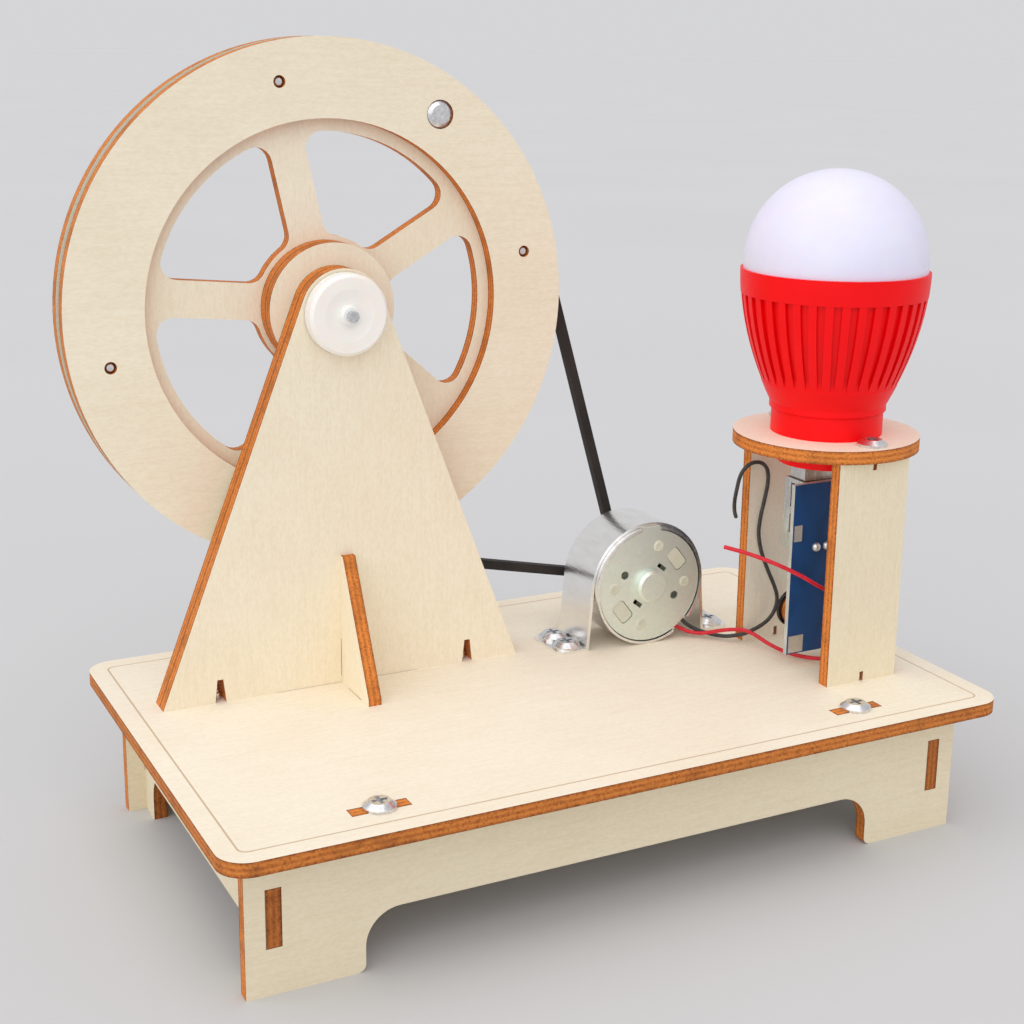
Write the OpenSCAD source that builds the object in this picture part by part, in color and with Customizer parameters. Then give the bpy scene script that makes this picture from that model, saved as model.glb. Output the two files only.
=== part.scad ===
// Hand crank generator: a plywood kit with a cranked wheel, a belt, a small motor and a lamp.
// Millimetres. X runs along the base, Y towards the back, Z up from the table.

/* [Plywood] */
// Thickness of one plywood board
ply = 2.5; // [2:0.1:3]
// Gap on each side of a tab in its slot
slot_gap = 0.1; // [0.05:0.05:0.2]

/* [Base] */
// Length of the base plate
base_l = 150; // [140:1:180]
// Width of the base plate
base_w = 90; // [86:1:120]
// Height of the plate's top face above the table
base_h = 27.5; // [24:0.5:40]
// Corner radius of the plate
base_corner_r = 5; // [2:0.5:10]
// Distance from the plate's long edge to a rail's outer face
rail_inset = 7.5; // [5:0.5:12]
// Distance from the plate's short edge to a rail's end
rail_end_inset = 5; // [3:0.5:12]
// Width of a rail's foot
foot_w = 20; // [12:1:28]
// Height of the straight underside between the feet
arch_h = 10.4; // [8:0.2:14]
// Radius where a foot meets the straight underside
arch_r = 6; // [3:0.5:7]
// Radius on a foot's inner corner
foot_r = 1.4; // [0.5:0.1:2]
// Width of a rail's tab in the plate
rail_tab_w = 10; // [6:0.5:16]
// Distance from the plate's short edge to the middle of a rail's tab
rail_tab_inset = 28; // [20:0.5:34]
// Distance from a rail's end to an end panel's outer face
end_panel_inset = 3.5; // [2:0.5:8]
// Height of an end panel's tab
end_tab_h = 10; // [6:0.5:12]
// Height of the tab's lower edge above the table
end_tab_z = 8.2; // [6:0.2:12]
// Width of an end panel's foot
end_foot_w = 5.5; // [4:0.5:12]

/* [Wheel stand] */
// Distance from the plate's left end to the wheel's axis
axle_inset = 43; // [42:0.1:46]
// Height of the wheel's axis above the plate
axle_h = 70.2; // [64:0.2:80]
// Place of the stand's front face, from the middle of the base
stand_y = 15.6; // [14:0.1:18]
// Width of the stand at the plate
stand_w = 71; // [60:1:76]
// Radius of the stand's rounded top
stand_top_r = 8; // [6:0.5:10]
// Width of the stand's tab in the plate
stand_tab_w = 27.8; // [16:0.2:34]
// Height of the brace in front of the stand
brace_h = 25; // [16:0.5:32]
// Length of the brace along the plate
brace_d = 13.4; // [8:0.2:18]
// Height of the brace's flat toe
brace_toe_h = 1.2; // [0.6:0.2:3]
// Length of the brace's tab in the plate
brace_tab_l = 6; // [4:0.5:8]
// Height of the brace's tab in the stand
brace_tab_h = 7; // [4:0.5:10]
// Height of that tab's lower edge above the plate
brace_tab_z = 1.5; // [1:0.5:4]
// Distance from the stand's middle to each of its screws
stand_screw_dx = 24.8; // [20:0.2:26]
// Height of the tapered screw notch in the stand
notch_h = 4.4; // [3:0.2:6]
// Width of that notch at the plate
notch_w = 2.1; // [1.9:0.1:3]
// Width of that notch at its top
notch_top_w = 1.1; // [0.8:0.1:1.6]

/* [Wheel] */
// Diameter of the wheel
wheel_d = 96; // [86:1:104]
// Radial width of a side ring
ring_w = 14.2; // [12:0.2:18]
// Depth of the belt groove below the side rings
groove_depth = 2.8; // [2.6:0.1:4]
// Inner diameter of the spoked layer's rim
rim_in_d = 63; // [52:1:64]
// Number of spokes
spoke_n = 5; // [4:1:6]
// Width of a spoke
spoke_w = 6.7; // [4:0.1:8]
// Angle of the first spoke
spoke_angle = 30.5; // [0:0.5:72]
// Corner radius of the windows between spokes
window_r = 3; // [1.5:0.5:4]
// Diameter of the spoked layer's hub
hub_d = 25.8; // [25.2:0.2:30]
// Diameter of the hub discs
hub_disc_d = 24; // [20:0.5:25]
// Gap between the turning hub and the stand
run_gap = 0.3; // [0.2:0.05:0.6]
// Radius of the circle of wheel screws and of the crank screw
wheel_screw_r = 41; // [40:0.2:42]
// Number of wheel screws
wheel_screw_n = 4; // [3:1:4]
// Diameter of the screw holes in the front ring
front_hole_d = 2.2; // [1.9:0.1:2.6]
// Angle of the first wheel screw
wheel_screw_angle = 11.8; // [0:0.2:20]
// Angle of the crank screw
crank_angle = 56.8; // [50:0.2:64]

/* [Axle and collars] */
// Diameter of the axle
axle_d = 2; // [1.6:0.1:3]
// Radial gap between the axle and the stand
axle_gap = 0.05; // [0.02:0.01:0.1]
// Diameter of a nylon collar
collar_d = 14.8; // [10:0.2:15.6]
// Thickness of a nylon collar
collar_t = 3; // [2:0.2:5]
// Diameter of the collar's dished middle
collar_dish_d = 9.4; // [8.6:0.2:9.6]
// Depth of the collar's dished middle
collar_dish_t = 0.5; // [0.3:0.1:1.2]
// Diameter of the collar's boss
collar_boss_d = 3.8; // [3.4:0.1:4]
// Height of the boss above the dish
collar_boss_h = 1.3; // [0.6:0.1:2]
// Length of the axle outside a collar's boss
axle_out = 1.2; // [0.5:0.1:2]

/* [Crank] */
// Diameter of the crank screw
crank_screw_d = 5; // [4:0.1:5.2]
// Gap around the crank screw in the wheel
crank_hole_gap = 0.15; // [0.1:0.05:0.4]
// Diameter of the crank grip
grip_d = 10; // [9:0.2:11]
// Length of the crank grip
grip_l = 22; // [16:1:30]
// Radial gap between the grip and its screw
grip_gap = 0.08; // [0.03:0.01:0.1]
// End gap of the turning grip
grip_end_gap = 0.3; // [0.2:0.05:0.5]
// Thickness of the crank nut
crank_nut_h = 4; // [3:0.2:5]
// Width across the crank nut's corners
crank_nut_w = 9.2; // [8:0.1:10]

/* [Belt and pulley] */
// Width and thickness of the belt
belt_s = 1.8; // [1.2:0.1:2]
// Gap between the belt and the pulleys
belt_gap = 0.3; // [0.2:0.05:0.4]
// Diameter of the motor pulley's groove floor
pulley_floor_d = 3.4; // [3:0.1:5]
// Diameter of the motor pulley's flanges
pulley_flange_d = 8.8; // [8:0.2:12]
// Thickness of a pulley flange
pulley_flange_t = 0.8; // [0.5:0.1:1.5]

/* [Motor] */
// Distance along the base from the wheel's axis to the motor's axis
wheel_to_motor = 62.3; // [61:0.1:65]
// Place of the motor's rear rim, from the middle of the base
motor_y = 8.9; // [8:0.1:9.4]
// Diameter of the motor
motor_d = 24.4; // [22:0.2:26]
// Length of the motor
motor_l = 12.3; // [11.6:0.1:12.8]
// Wall of the motor's can
can_wall = 0.5; // [0.4:0.1:1]
// Thickness of the motor's end cap
cap_t = 1.4; // [1:0.1:1.6]
// Gap between the end cap and the can
cap_gap = 0.2; // [0.1:0.05:0.4]
// Diameter of the motor shaft
shaft_d = 2; // [1.5:0.1:2.3]
// Radial gap between the shaft and its bearings
shaft_gap = 0.05; // [0.02:0.01:0.1]
// Diameter of the rear bearing's boss
boss_d = 6.6; // [5:0.2:7]
// Height of the rear bearing's boss
boss_h = 1.5; // [1.2:0.1:2]
// Radial thickness of the magnet ring
magnet_t = 2; // [1.4:0.1:2.4]
// Radial gap between the rotor and the magnet
rotor_gap = 0.5; // [0.4:0.05:0.8]

/* [Motor strap] */
// Thickness of the strap's metal
strap_t = 0.6; // [0.4:0.1:1]
// Width of the strap
strap_w = 11.4; // [10:0.2:11.8]
// Distance from the motor's rear rim to the strap
strap_inset = 1.2; // [1:0.1:1.6]
// Distance that a leg of the strap stands out at the plate
strap_splay = 1; // [0.6:0.1:2.6]
// Length of an ear on the plate
ear_l = 6.2; // [6.1:0.1:7]
// Distance from an ear's end to its screws
ear_screw_inset = 3.2; // [3.1:0.1:3.2]
// Distance between the two screws of an ear
ear_screw_pitch = 5.7; // [5.5:0.1:5.9]

/* [Lamp column] */
// Distance from the plate's right end to the column's axis
column_inset = 18.6; // [17:0.2:20]
// Place of the column's axis across the base, from the middle
column_y = -10.7; // [-12:0.1:-10]
// Width of a column panel
panel_w = 16; // [14:0.5:18]
// Height of a column panel
panel_h = 43.5; // [41:0.5:48]
// Distance over the two panels
column_d = 30.4; // [29:0.2:32]
// Diameter of the round top board
disc_d = 35.4; // [34:0.2:40]

/* [Lamp bulb] */
// Largest diameter of the red body
bulb_d = 35.4; // [33:0.2:40]
// Height of the red body above the round top board
bulb_body_h = 31; // [28:0.5:36]
// Diameter of the neck that stands on the board
neck_d = 21.2; // [19.6:0.2:22]
// Height of the neck
neck_h = 4.4; // [3:0.2:5]
// Diameter of the part of the neck inside the board
spigot_d = 18; // [17:0.2:19]
// Gap around that part in the board
spigot_gap = 0.3; // [0.2:0.05:0.5]
// Length of that part below the board
spigot_h = 3.4; // [2.6:0.2:4]
// Wall of the red body
bulb_wall = 1.6; // [1.2:0.1:2.2]
// Number of ribs round the body
rib_n = 36; // [18:2:40]
// Width of a rib
rib_w = 1.5; // [0.8:0.1:1.7]
// Depth of the grooves between the ribs
rib_deep = 0.7; // [0.3:0.1:0.7]
// Diameter of the white dome
dome_d = 34.4; // [31:0.2:35]
// Height of the dome's centre above the red rim
dome_lift = 1.5; // [0.5:0.1:3]
// Wall of the white dome
dome_wall = 1; // [0.7:0.1:1.5]

/* [Power module] */
// Width of the circuit board
pcb_w = 16.2; // [15:0.2:18]
// Height of the circuit board
pcb_h = 34; // [32:0.5:35]
// Thickness of the circuit board
pcb_t = 1; // [0.8:0.1:1.8]
// Sideways offset of the board from the socket
pcb_dx = -1.3; // [-1.6:0.1:1]
// Distance from the board's lower edge to the plate
pcb_lift = 2.9; // [2:0.1:3.6]
// Width of the plug's shell
plug_w = 12; // [12:0.1:12.2]
// Thickness of the plug's shell
plug_t = 4.5; // [4.4:0.1:4.7]
// Length of the plug
plug_l = 15; // [13:0.2:15.6]
// Wall of the plug's shell
plug_wall = 0.4; // [0.3:0.05:0.5]
// Gap between the plug and the socket
plug_gap = 0.3; // [0.2:0.05:0.35]
// Wall of the socket's shell
socket_wall = 0.4; // [0.3:0.05:0.5]
// Diameter of the coil's core
coil_d = 7.8; // [6:0.2:8]
// Height of the coil's core
coil_h = 5; // [3:0.2:6]

/* [Screws] */
// Diameter of a wood screw's shank
screw_d = 1.6; // [1.2:0.1:1.8]
// Gap between a wood screw and its hole
screw_gap = 0.05; // [0.02:0.01:0.1]
// Diameter of a wood screw's head
screw_head_d = 5.6; // [4.6:0.1:6]
// Height of a wood screw's head
screw_head_h = 1.3; // [1.2:0.1:2]
// Length of a wood screw
screw_l = 9; // [8:0.5:10]
// Diameter of a wheel screw's head
small_head_d = 3.8; // [3.2:0.1:4.2]
// Height of a wheel screw's head
small_head_h = 1.3; // [1:0.1:1.6]

/* [Wires] */
// Diameter of a wire
wire_d = 0.8; // [0.6:0.1:1.4]

/* [Hidden] */
wood = [0.93, 0.86, 0.74];
steel = [0.78, 0.78, 0.78];
nylon = [0.97, 0.95, 0.93];
dark_metal = [0.35, 0.35, 0.37];
black = [0.1, 0.1, 0.1];
copper = [0.75, 0.42, 0.2];
brass = [0.8, 0.66, 0.32];
red = [0.9, 0.1, 0.12];
white = [0.96, 0.95, 0.99];
board_blue = [0.08, 0.2, 0.42];
tin = [0.8, 0.79, 0.77];
eps = 0.01;
cut = 1;
$fn = 96;
rail_h = base_h - ply;
rail_l = base_l - 2 * rail_end_inset;
rail_y = base_w / 2 - rail_inset;
rail_mid_y = rail_y - ply / 2;
arch_half = rail_l / 2 - foot_w;
rail_tab_x = base_l / 2 - rail_tab_inset;
end_x = rail_l / 2 - end_panel_inset;
end_span = 2 * (rail_y - ply);
axle_x = -base_l / 2 + axle_inset;
axle_z = base_h + axle_h;
motor_x = axle_x + wheel_to_motor;
column_x = base_l / 2 - column_inset;
stand_t = 2 * ply;
stand_mid_y = stand_y + ply;
stand_back = stand_y + stand_t;
stand_half = stand_w / 2;
stand_slant = sqrt(stand_half * stand_half + axle_h * axle_h);
stand_lean = acos(stand_top_r / stand_slant) - atan2(axle_h, stand_half);
stand_top_steps = 48;
brace_y = stand_y - brace_d;
hub_y = stand_back + run_gap;
ring_front_y = hub_y + ply;
spoke_y = ring_front_y + ply;
ring_back_y = spoke_y + ply;
wheel_back = ring_back_y + ply;
groove_r = wheel_d / 2 - groove_depth;
ring_in_r = wheel_d / 2 - ring_w;
rim_in_r = rim_in_d / 2;
hub_r = hub_d / 2;
crank_hole_r = crank_screw_d / 2 + crank_hole_gap;
screw_hole_r = screw_d / 2 + screw_gap;
belt_y = spoke_y + ply / 2;
belt_wheel_r = groove_r + belt_gap + belt_s / 2;
belt_pulley_r = pulley_floor_d / 2 + belt_gap + belt_s / 2;
motor_z = base_h + motor_d / 2;
motor_front = motor_y + motor_l;
can_in_r = motor_d / 2 - can_wall;
cap_sink = 0.3;
cap_y = motor_y + cap_sink;
boss_edge = 0.5;
boss_wall = 0.8;
pad_angles = [38, 218];
pad_place_r = 7.8;
cap_pad_w = 2.8;
cap_pad_l = 4.4;
cap_pad_corner = 0.7;
pad_gap = 0.12;
pad_sink = 0.15;
stake_angles = [77, 178, 257, 358];
stake_place_r = 8.2;
stake_r = 0.6;
stake_head_r = 1.15;
stake_head_h = 0.25;
stake_head_edge = 0.2;
stake_dimple_r = 0.5;
stake_dimple_deep = 0.15;
card_t = 0.6;
card_inset = 0.6;
card_hole_r = 1.6;
cap_tab_w = 4.2;
cap_tab_angle = 90;
cap_slot_angles = [52, 232];
cap_slot_place_r = 4.4;
cap_slot_w = 0.9;
cap_slot_l = 2.2;
cap_hole_angles = [154, 334];
cap_hole_place_r = 6.5;
cap_hole_r = 0.85;
cap_r = can_in_r - cap_gap;
shaft_end_gap = 0.3;
shaft_out = 0.5;
bush_r = 2.6;
bush_l = 2;
bush_nose = 0.8;
bush_y = motor_front - bush_l + bush_nose;
shaft_rear = cap_y - boss_h + boss_wall + shaft_end_gap;
shaft_front = belt_y + ply / 2 + pulley_flange_t + shaft_out;
commutator_r = 2;
commutator_l = 2.4;
rotor_end_gap = 0.5;
card_y = cap_y + cap_t;
brush_y = card_y + card_t;
commutator_y = brush_y + rotor_end_gap;
core_y = commutator_y + commutator_l;
core_l = 3.4;
core_r = can_in_r - magnet_t - rotor_gap;
core_hub_r = 3.2;
brush_t = 0.4;
brush_l = 6.8;
brush_w = 1.6;
brush_gap = 0.25;
pole_n = 3;
tooth_w = 2.6;
shoe_half_angle = 40;
winding_t = 1;
winding_gap = 0.5;
winding_corner = 0.8;
shoe_t = 1.6;
magnet_l = 6;
terminal_w = 1.6;
terminal_t = 0.5;
terminal_hold = 1.4;
terminal_out = 0.3;
terminal_in_r = cap_r - terminal_hold;
terminal_out_r = motor_d / 2 + terminal_out;
terminal_angles = [-55.2, -46];
wire_notch_w = 2.2;
notch_deep = cap_sink + cap_t + slot_gap;
strap_y = motor_y + strap_inset;
strap_gap = 0.05;
ear_corner = 1.6;
strap_steps = 60;
strap_r = motor_d / 2 + strap_gap;
strap_out_r = strap_r + strap_t;
leg_in_x = strap_r + strap_splay;
leg_out_x = strap_out_r + strap_splay;
ear_end = leg_out_x + ear_l;
ear_screw_x = ear_end - ear_screw_inset;
ear_screw_y = [strap_y + strap_w / 2 - ear_screw_pitch / 2, strap_y + strap_w / 2 + ear_screw_pitch / 2];
front_panel_y = column_y - column_d / 2;
back_panel_y = column_y + column_d / 2 - ply;
panel_top = base_h + panel_h;
disc_top = panel_top + ply;
panel_notch_w = 0.9;
panel_notch_h = 1.9;
body_top = disc_top + bulb_body_h;
rib_low = 9.6;
rib_fade = 2.4;
rib_high = 4.6;
rib_sink = 0.1;
rib_top = bulb_body_h - rib_high;
bulb_r = bulb_d / 2;
neck_r = neck_d / 2;
neck_floor_t = 2;
shoulder_out = 0.45;
shoulder_edge = 0.3;
shoulder_rise = 1.5;
shoulder_r = neck_r + shoulder_out;
shoulder_h = neck_h + shoulder_rise;
side_power = 1.9;
side_steps = 8;
rib_root = 1;
dome_skirt = 2.5;
spigot_low = panel_top - spigot_h;
led_drop = 4.2;
led_board_z = body_top - led_drop;
led_board_t = 1.2;
led_n = 6;
led_r = 8;
led_s = 2.4;
led_h = 0.8;
plug_low = spigot_low - plug_l;
socket_in_t = plug_t + 2 * plug_gap;
socket_in_w = plug_w + 2 * plug_gap;
socket_t = socket_in_t + 2 * socket_wall;
socket_w = socket_in_w + 2 * socket_wall;
socket_depth = 14;
spring_window_w = 2;
spring_window_h = [4.8, 3.8];
spring_window_drop = [0.8, 7];
pcb_back_y = column_y - socket_t / 2;
pcb_y = pcb_back_y - pcb_t;
pcb_low = base_h + pcb_lift;
pcb_x = column_x + pcb_dx;
socket_top = pcb_low + pcb_h;
socket_low = socket_top - socket_depth;
socket_floor_t = 1.2;
tongue_w = 10;
tongue_t = 1.4;
insert_w = 10.8;
insert_t = 1.6;
insert_sink = 0.4;
tongue_gap = 0.3;
tongue_sink = 2;
coil_inset = 1.6;
coil_z = pcb_low + 7.2;
coil_x = pcb_x - pcb_w / 2 + coil_d / 2 + coil_inset;
coil_fill = 0.4;
coil_flange_t = 0.8;
coil_waist_r = coil_d / 2 - 1.6;
chip_x = pcb_x + 4.4;
chip_z = pcb_low + 8.5;
chip_w = 3.9;
chip_h = 4.9;
chip_t = 1.6;
capacitor_d = 4;
capacitor_h = 5.2;
capacitor_z = [pcb_low + 3, pcb_low + 16.2];
diode_x = pcb_x - 2.9;
diode_z = pcb_low + 15;
diode_w = 4.3;
diode_t = 2.2;
diode_h = 2.6;
pad_s = 3.4;
pad_t = 0.15;
pad_inset = 0.3;
lug_w = 1.8;
lug_h = 3.2;
lug_z = socket_low + 4.4;
pin_n = 4;
pin_pitch = 2.5;
pin_z = socket_low + 1.2;
pin_r = 0.9;
pin_steps = 6;
screw_tip = 3.2;
thread_n = 5;
thread_pitch = screw_tip / thread_n;
thread_deep = 0.25;
blunt_edge = 0.2;
screw_point_r = 0.15;
screw_end_gap = 0.4;
screw_out = 2;
head_rim = 0.5;
head_slope = 1;
cross_l = 2.6;
cross_w = 0.7;
cross_deep = 0.7;
wire_sides = 8;
grip_y = wheel_back + crank_nut_h + grip_end_gap;
crank_head_y = grip_y + grip_l + grip_end_gap;
crank_head_h = 2.4;
crank_head_d = 8.6;
crank_head_top_d = 6;
crank_cross_l = 4.3;
crank_cross_w = 1;
crank_cross_deep = 1;
crank_tip_out = 0.2;
crank_tip_y = ring_front_y - crank_tip_out;
crank_tip_h = 0.5;
crank_tip_slope = 0.8;
grip_edge = 0.8;
crank_x = axle_x + wheel_screw_r * cos(crank_angle);
crank_z = axle_z + wheel_screw_r * sin(crank_angle);
x_low = min(-base_l / 2, axle_x - wheel_d / 2);
x_high = max(base_l / 2, column_x + disc_d / 2);
y_high = max(base_w / 2, crank_head_y + crank_head_h);
frame_shift = [-(x_low + x_high) / 2, -(y_high - base_w / 2) / 2, 0];
collar_edge = 0.6;
dish_slope = 2.2;
collar_boss_slope = 0.3;
collar_floor = collar_t - collar_dish_t;
axle_front = stand_y - run_gap - collar_floor - collar_boss_h - axle_out;
axle_back = wheel_back + collar_floor + collar_boss_h + axle_out;
window_side = spoke_w / 2 + window_r;
window_out = sqrt(pow(rim_in_r - window_r, 2) - pow(window_side, 2));
window_in = sqrt(pow(hub_r + window_r, 2) - pow(window_side, 2));
spoke_step = 360 / spoke_n;
belt_dx = motor_x - axle_x;
belt_dz = motor_z - axle_z;
belt_span = sqrt(belt_dx * belt_dx + belt_dz * belt_dz);
belt_turn = atan2(belt_dz, belt_dx);
belt_leave = acos((belt_wheel_r - belt_pulley_r) / belt_span);
belt_wheel_steps = 90;
belt_pulley_steps = 20;
pulley_l = ply + 2 * pulley_flange_t;
rim_angle = atan2(window_side, window_out);
hub_angle = atan2(window_side, window_in);
corner_steps = 6;
window_steps = 20;
red_route = [
  [37.1, 9.95, 29.9], [38.4, 9.3, 29.2], [39.7, 8.2, 28.7], [41.1, 6.7, 28.7], [42.5, 5.1, 29.2],
  [44, 3.2, 30], [45.6, 1.2, 30.6], [47, -0.7, 30.8], [48.3, -2.5, 30.2], [49.5, -4.9, 29.2],
  [50.7, -8.6, 28.6], [52.3, -12.4, 28.5], [55, -15.6, 28.7], [58.2, -18, 29.9], [60.6, -19.5, 32.7],
  [61.1, -20.2, 36.6], [59.2, -20.2, 40.3], [55.6, -19.9, 42.7], [51.1, -19.6, 44.9], [46, -18.8, 48],
  [41.4, -16.9, 50.4], [37.6, -13.6, 51.9], [34.6, -10, 52.6]
];
black_route = [
  [38.7, 9.95, 31], [39.8, 9.5, 29.9], [41, 8.8, 29.1], [42.3, 7.6, 28.6], [43.6, 6, 28.3],
  [44.7, 4.5, 28.3], [45.7, 3.2, 28.5], [47, 2.3, 28.8], [48.4, 1.5, 29.2], [50, 0.9, 29.9],
  [51.8, 0.5, 30.8], [53.5, 0.3, 32], [54.8, 0.25, 33.8], [55.2, 0.2, 36.2], [54.4, 0.2, 38.8],
  [52.6, 0.2, 42.4], [50.8, 0.2, 46.4], [49.9, 0.25, 50.2], [50.1, 0.3, 53.6], [50.8, 0.3, 57],
  [51.4, 0.3, 60], [51.5, 0.3, 62.2], [51.05, 0.3, 63.85], [49.9, 0.3, 65], [48.3, 0.3, 65.4],
  [46.9, 0.5, 65], [45.9, 0.9, 63.85], [45.5, 1.5, 62.2], [45.5, 2.3, 59.6], [45.9, 3.4, 57],
  [46.8, 4.6, 54.6], [48, 5.7, 52.8]
];

// Points of an arc round a centre, from one angle to another
function arc(centre, r, from, to, steps) = [for (i = [0 : steps])
  let (a = from + (to - from) * i / steps) centre + r * [cos(a), sin(a)]];

// A board in the XZ plane, from y to y plus its thickness
module board_xz(y, t) {
  translate([0, y + t, 0]) rotate([90, 0, 0]) linear_extrude(t) children();
}

// A board in the YZ plane, from x to x plus its thickness
module board_yz(x, t) {
  translate([x, 0, 0]) rotate([90, 0, 90]) linear_extrude(t) children();
}

// A shape that stands on the XZ plane at x, y, z and rises towards the back
module along_y(x, y, z) {
  translate([x, y, z]) rotate([-90, 0, 0]) children();
}

// A disc or ring round the wheel's axis
module wheel_layer(y) {
  translate([axle_x, 0, axle_z]) board_xz(y, ply) children();
}

// A rectangle with round corners, centred
module rounded_rect(l, w, r) {
  square([l - 2 * r, w], center = true);
  square([l, w - 2 * r], center = true);
  for (sx = [-1, 1], sy = [-1, 1]) translate([sx * (l / 2 - r), sy * (w / 2 - r)]) circle(r);
}

// What a round inner foot corner takes off
module corner_cut(r) {
  difference() {
    translate([-cut, -cut]) square(r + cut);
    translate([r, r]) circle(r);
    translate([-cut, r - eps]) square([cut, 2 * eps]);
  }
}

// The space under a panel between two feet, open at the bottom, with round upper corners
module arch(half, h, r) {
  translate([-half, -cut]) square([2 * half, h - r + cut]);
  translate([-half + r, -cut]) square([2 * (half - r), h + cut]);
  for (s = [-1, 1]) translate([s * (half - r), h - r]) circle(r);
}

// Outline of a wood screw's tip from its point upwards, with the ridges of its thread
function tip_r(z) = screw_point_r + (screw_d / 2 - screw_point_r) * z / screw_tip;
function tip_points() = [for (i = [0 : thread_n - 1]) let (z = i * thread_pitch)
  each [[max(tip_r(z) - thread_deep, screw_point_r), z], [tip_r(z + thread_pitch), z + thread_pitch / 2]]];

// Outline of a wheel screw's blunt end
function blunt_points() = [[screw_d / 2 - blunt_edge, 0], [screw_d / 2, blunt_edge]];

// A screw that points down, with its head's underside at the origin and its end along the given outline
module screw(head_d, head_h, l, end_points) {
  difference() {
    rotate_extrude() polygon([[0, 0], [head_d / 2, 0], [head_d / 2, head_rim],
      [head_d / 2 - head_slope, head_h], [0, head_h]]);
    for (a = [0, 90]) rotate(a) translate([0, 0, head_h])
      cube([cross_l, cross_w, 2 * cross_deep], center = true);
  }
  translate([0, 0, -l]) rotate_extrude()
    polygon(concat([[0, 0]], end_points, [[screw_d / 2, l + eps], [0, l + eps]]));
}

module wood_screw(l) {
  screw(screw_head_d, screw_head_h, l, tip_points());
}

// Places of the four rail tabs' screws
module at_rail_tabs() {
  for (sx = [-1, 1], sy = [-1, 1]) translate([sx * rail_tab_x, sy * rail_mid_y]) children();
}

// Places of the two screws under the stand
module at_stand_screws() {
  for (s = [-1, 1]) translate([axle_x + s * stand_screw_dx, stand_mid_y]) children();
}

// Places of the screws in the middle of the two column panels
module at_panel_screws() {
  for (y = [front_panel_y, back_panel_y]) translate([column_x, y + ply / 2]) children();
}

// Places of the four screws in the strap's ears
module at_ear_screws() {
  for (s = [-1, 1], y = ear_screw_y) translate([motor_x + s * ear_screw_x, y]) children();
}

module base_plate() {
  color(wood) translate(frame_shift) translate([0, 0, rail_h]) linear_extrude(ply) difference() {
    rounded_rect(base_l, base_w, base_corner_r);
    at_rail_tabs() square([rail_tab_w + 2 * slot_gap, ply + 2 * slot_gap], center = true);
    translate([axle_x, stand_mid_y])
      square([stand_tab_w + 2 * slot_gap, stand_t + 2 * slot_gap], center = true);
    translate([axle_x, brace_y + brace_d / 2])
      square([ply + 2 * slot_gap, brace_tab_l + 2 * slot_gap], center = true);
    at_stand_screws() circle(screw_hole_r);
    at_panel_screws() circle(screw_hole_r);
    at_ear_screws() circle(screw_hole_r);
  }
}

// One long rail in its own XZ outline
module rail_outline() {
  difference() {
    union() {
      translate([-rail_l / 2, 0]) square([rail_l, rail_h]);
      for (s = [-1, 1]) translate([s * rail_tab_x - rail_tab_w / 2, 0]) square([rail_tab_w, base_h]);
    }
    arch(arch_half, arch_h, arch_r);
    for (s = [0, 1]) mirror([s, 0]) translate([arch_half, 0]) corner_cut(foot_r);
    for (s = [-1, 1]) translate([s * (end_x - ply / 2), end_tab_z + end_tab_h / 2])
      square([ply + 2 * slot_gap, end_tab_h + 2 * slot_gap], center = true);
  }
}

module rail(y) {
  difference() {
    board_xz(y, ply) rail_outline();
    for (s = [-1, 1]) translate([s * rail_tab_x, y + ply / 2, base_h - screw_l - cut])
      cylinder(r = screw_hole_r, h = screw_l + 2 * cut);
  }
}

module front_rail() {
  color(wood) translate(frame_shift) rail(-rail_y);
}

module back_rail() {
  color(wood) translate(frame_shift) rail(rail_y - ply);
}

// One end panel in its own YZ outline
module end_outline() {
  difference() {
    translate([-end_span / 2, 0]) square([end_span, rail_h]);
    arch(end_span / 2 - end_foot_w, arch_h, arch_r);
  }
  translate([-rail_y, end_tab_z]) square([2 * rail_y, end_tab_h]);
}

module left_end_panel() {
  color(wood) translate(frame_shift) board_yz(-end_x, ply) end_outline();
}

module right_end_panel() {
  color(wood) translate(frame_shift) board_yz(end_x - ply, ply) end_outline();
}

module base_screws() {
  color(steel) translate(frame_shift) translate([0, 0, base_h]) at_rail_tabs()
    wood_screw(screw_l);
}

// Outline of the stand: a triangle with a round top, its tab and its screw notches
module stand_outline() {
  difference() {
    union() {
      polygon(concat([[-stand_half, 0], [stand_half, 0]],
        arc([0, axle_h], stand_top_r, stand_lean, 180 - stand_lean, stand_top_steps)));
      translate([-stand_tab_w / 2, -ply]) square([stand_tab_w, ply + eps]);
    }
    translate([0, axle_h]) circle(axle_d / 2 + axle_gap);
    for (s = [-1, 1]) translate([s * stand_screw_dx, 0])
      polygon([[-notch_w / 2, -cut], [notch_w / 2, -cut], [notch_w / 2, 0],
        [notch_top_w / 2, notch_h], [-notch_top_w / 2, notch_h], [-notch_w / 2, 0]]);
    translate([0, brace_tab_z + brace_tab_h / 2])
      square([ply + 2 * slot_gap, brace_tab_h + 2 * slot_gap], center = true);
  }
}

module stand_board(y) {
  translate([axle_x, 0, base_h]) board_xz(y, ply) stand_outline();
}

module stand_front_board() {
  color(wood) translate(frame_shift) stand_board(stand_y);
}

module stand_back_board() {
  color(wood) translate(frame_shift) stand_board(stand_y + ply);
}

module stand_brace() {
  color(wood) translate(frame_shift) translate([axle_x - ply / 2, brace_y, base_h])
    board_yz(0, ply) union() {
      polygon([[0, 0], [brace_d, 0], [brace_d, brace_h], [brace_d - brace_toe_h, brace_h],
        [0, brace_toe_h]]);
      translate([brace_d - eps, brace_tab_z]) square([stand_t + eps, brace_tab_h]);
      translate([(brace_d - brace_tab_l) / 2, -ply]) square([brace_tab_l, ply + eps]);
    }
}

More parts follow.
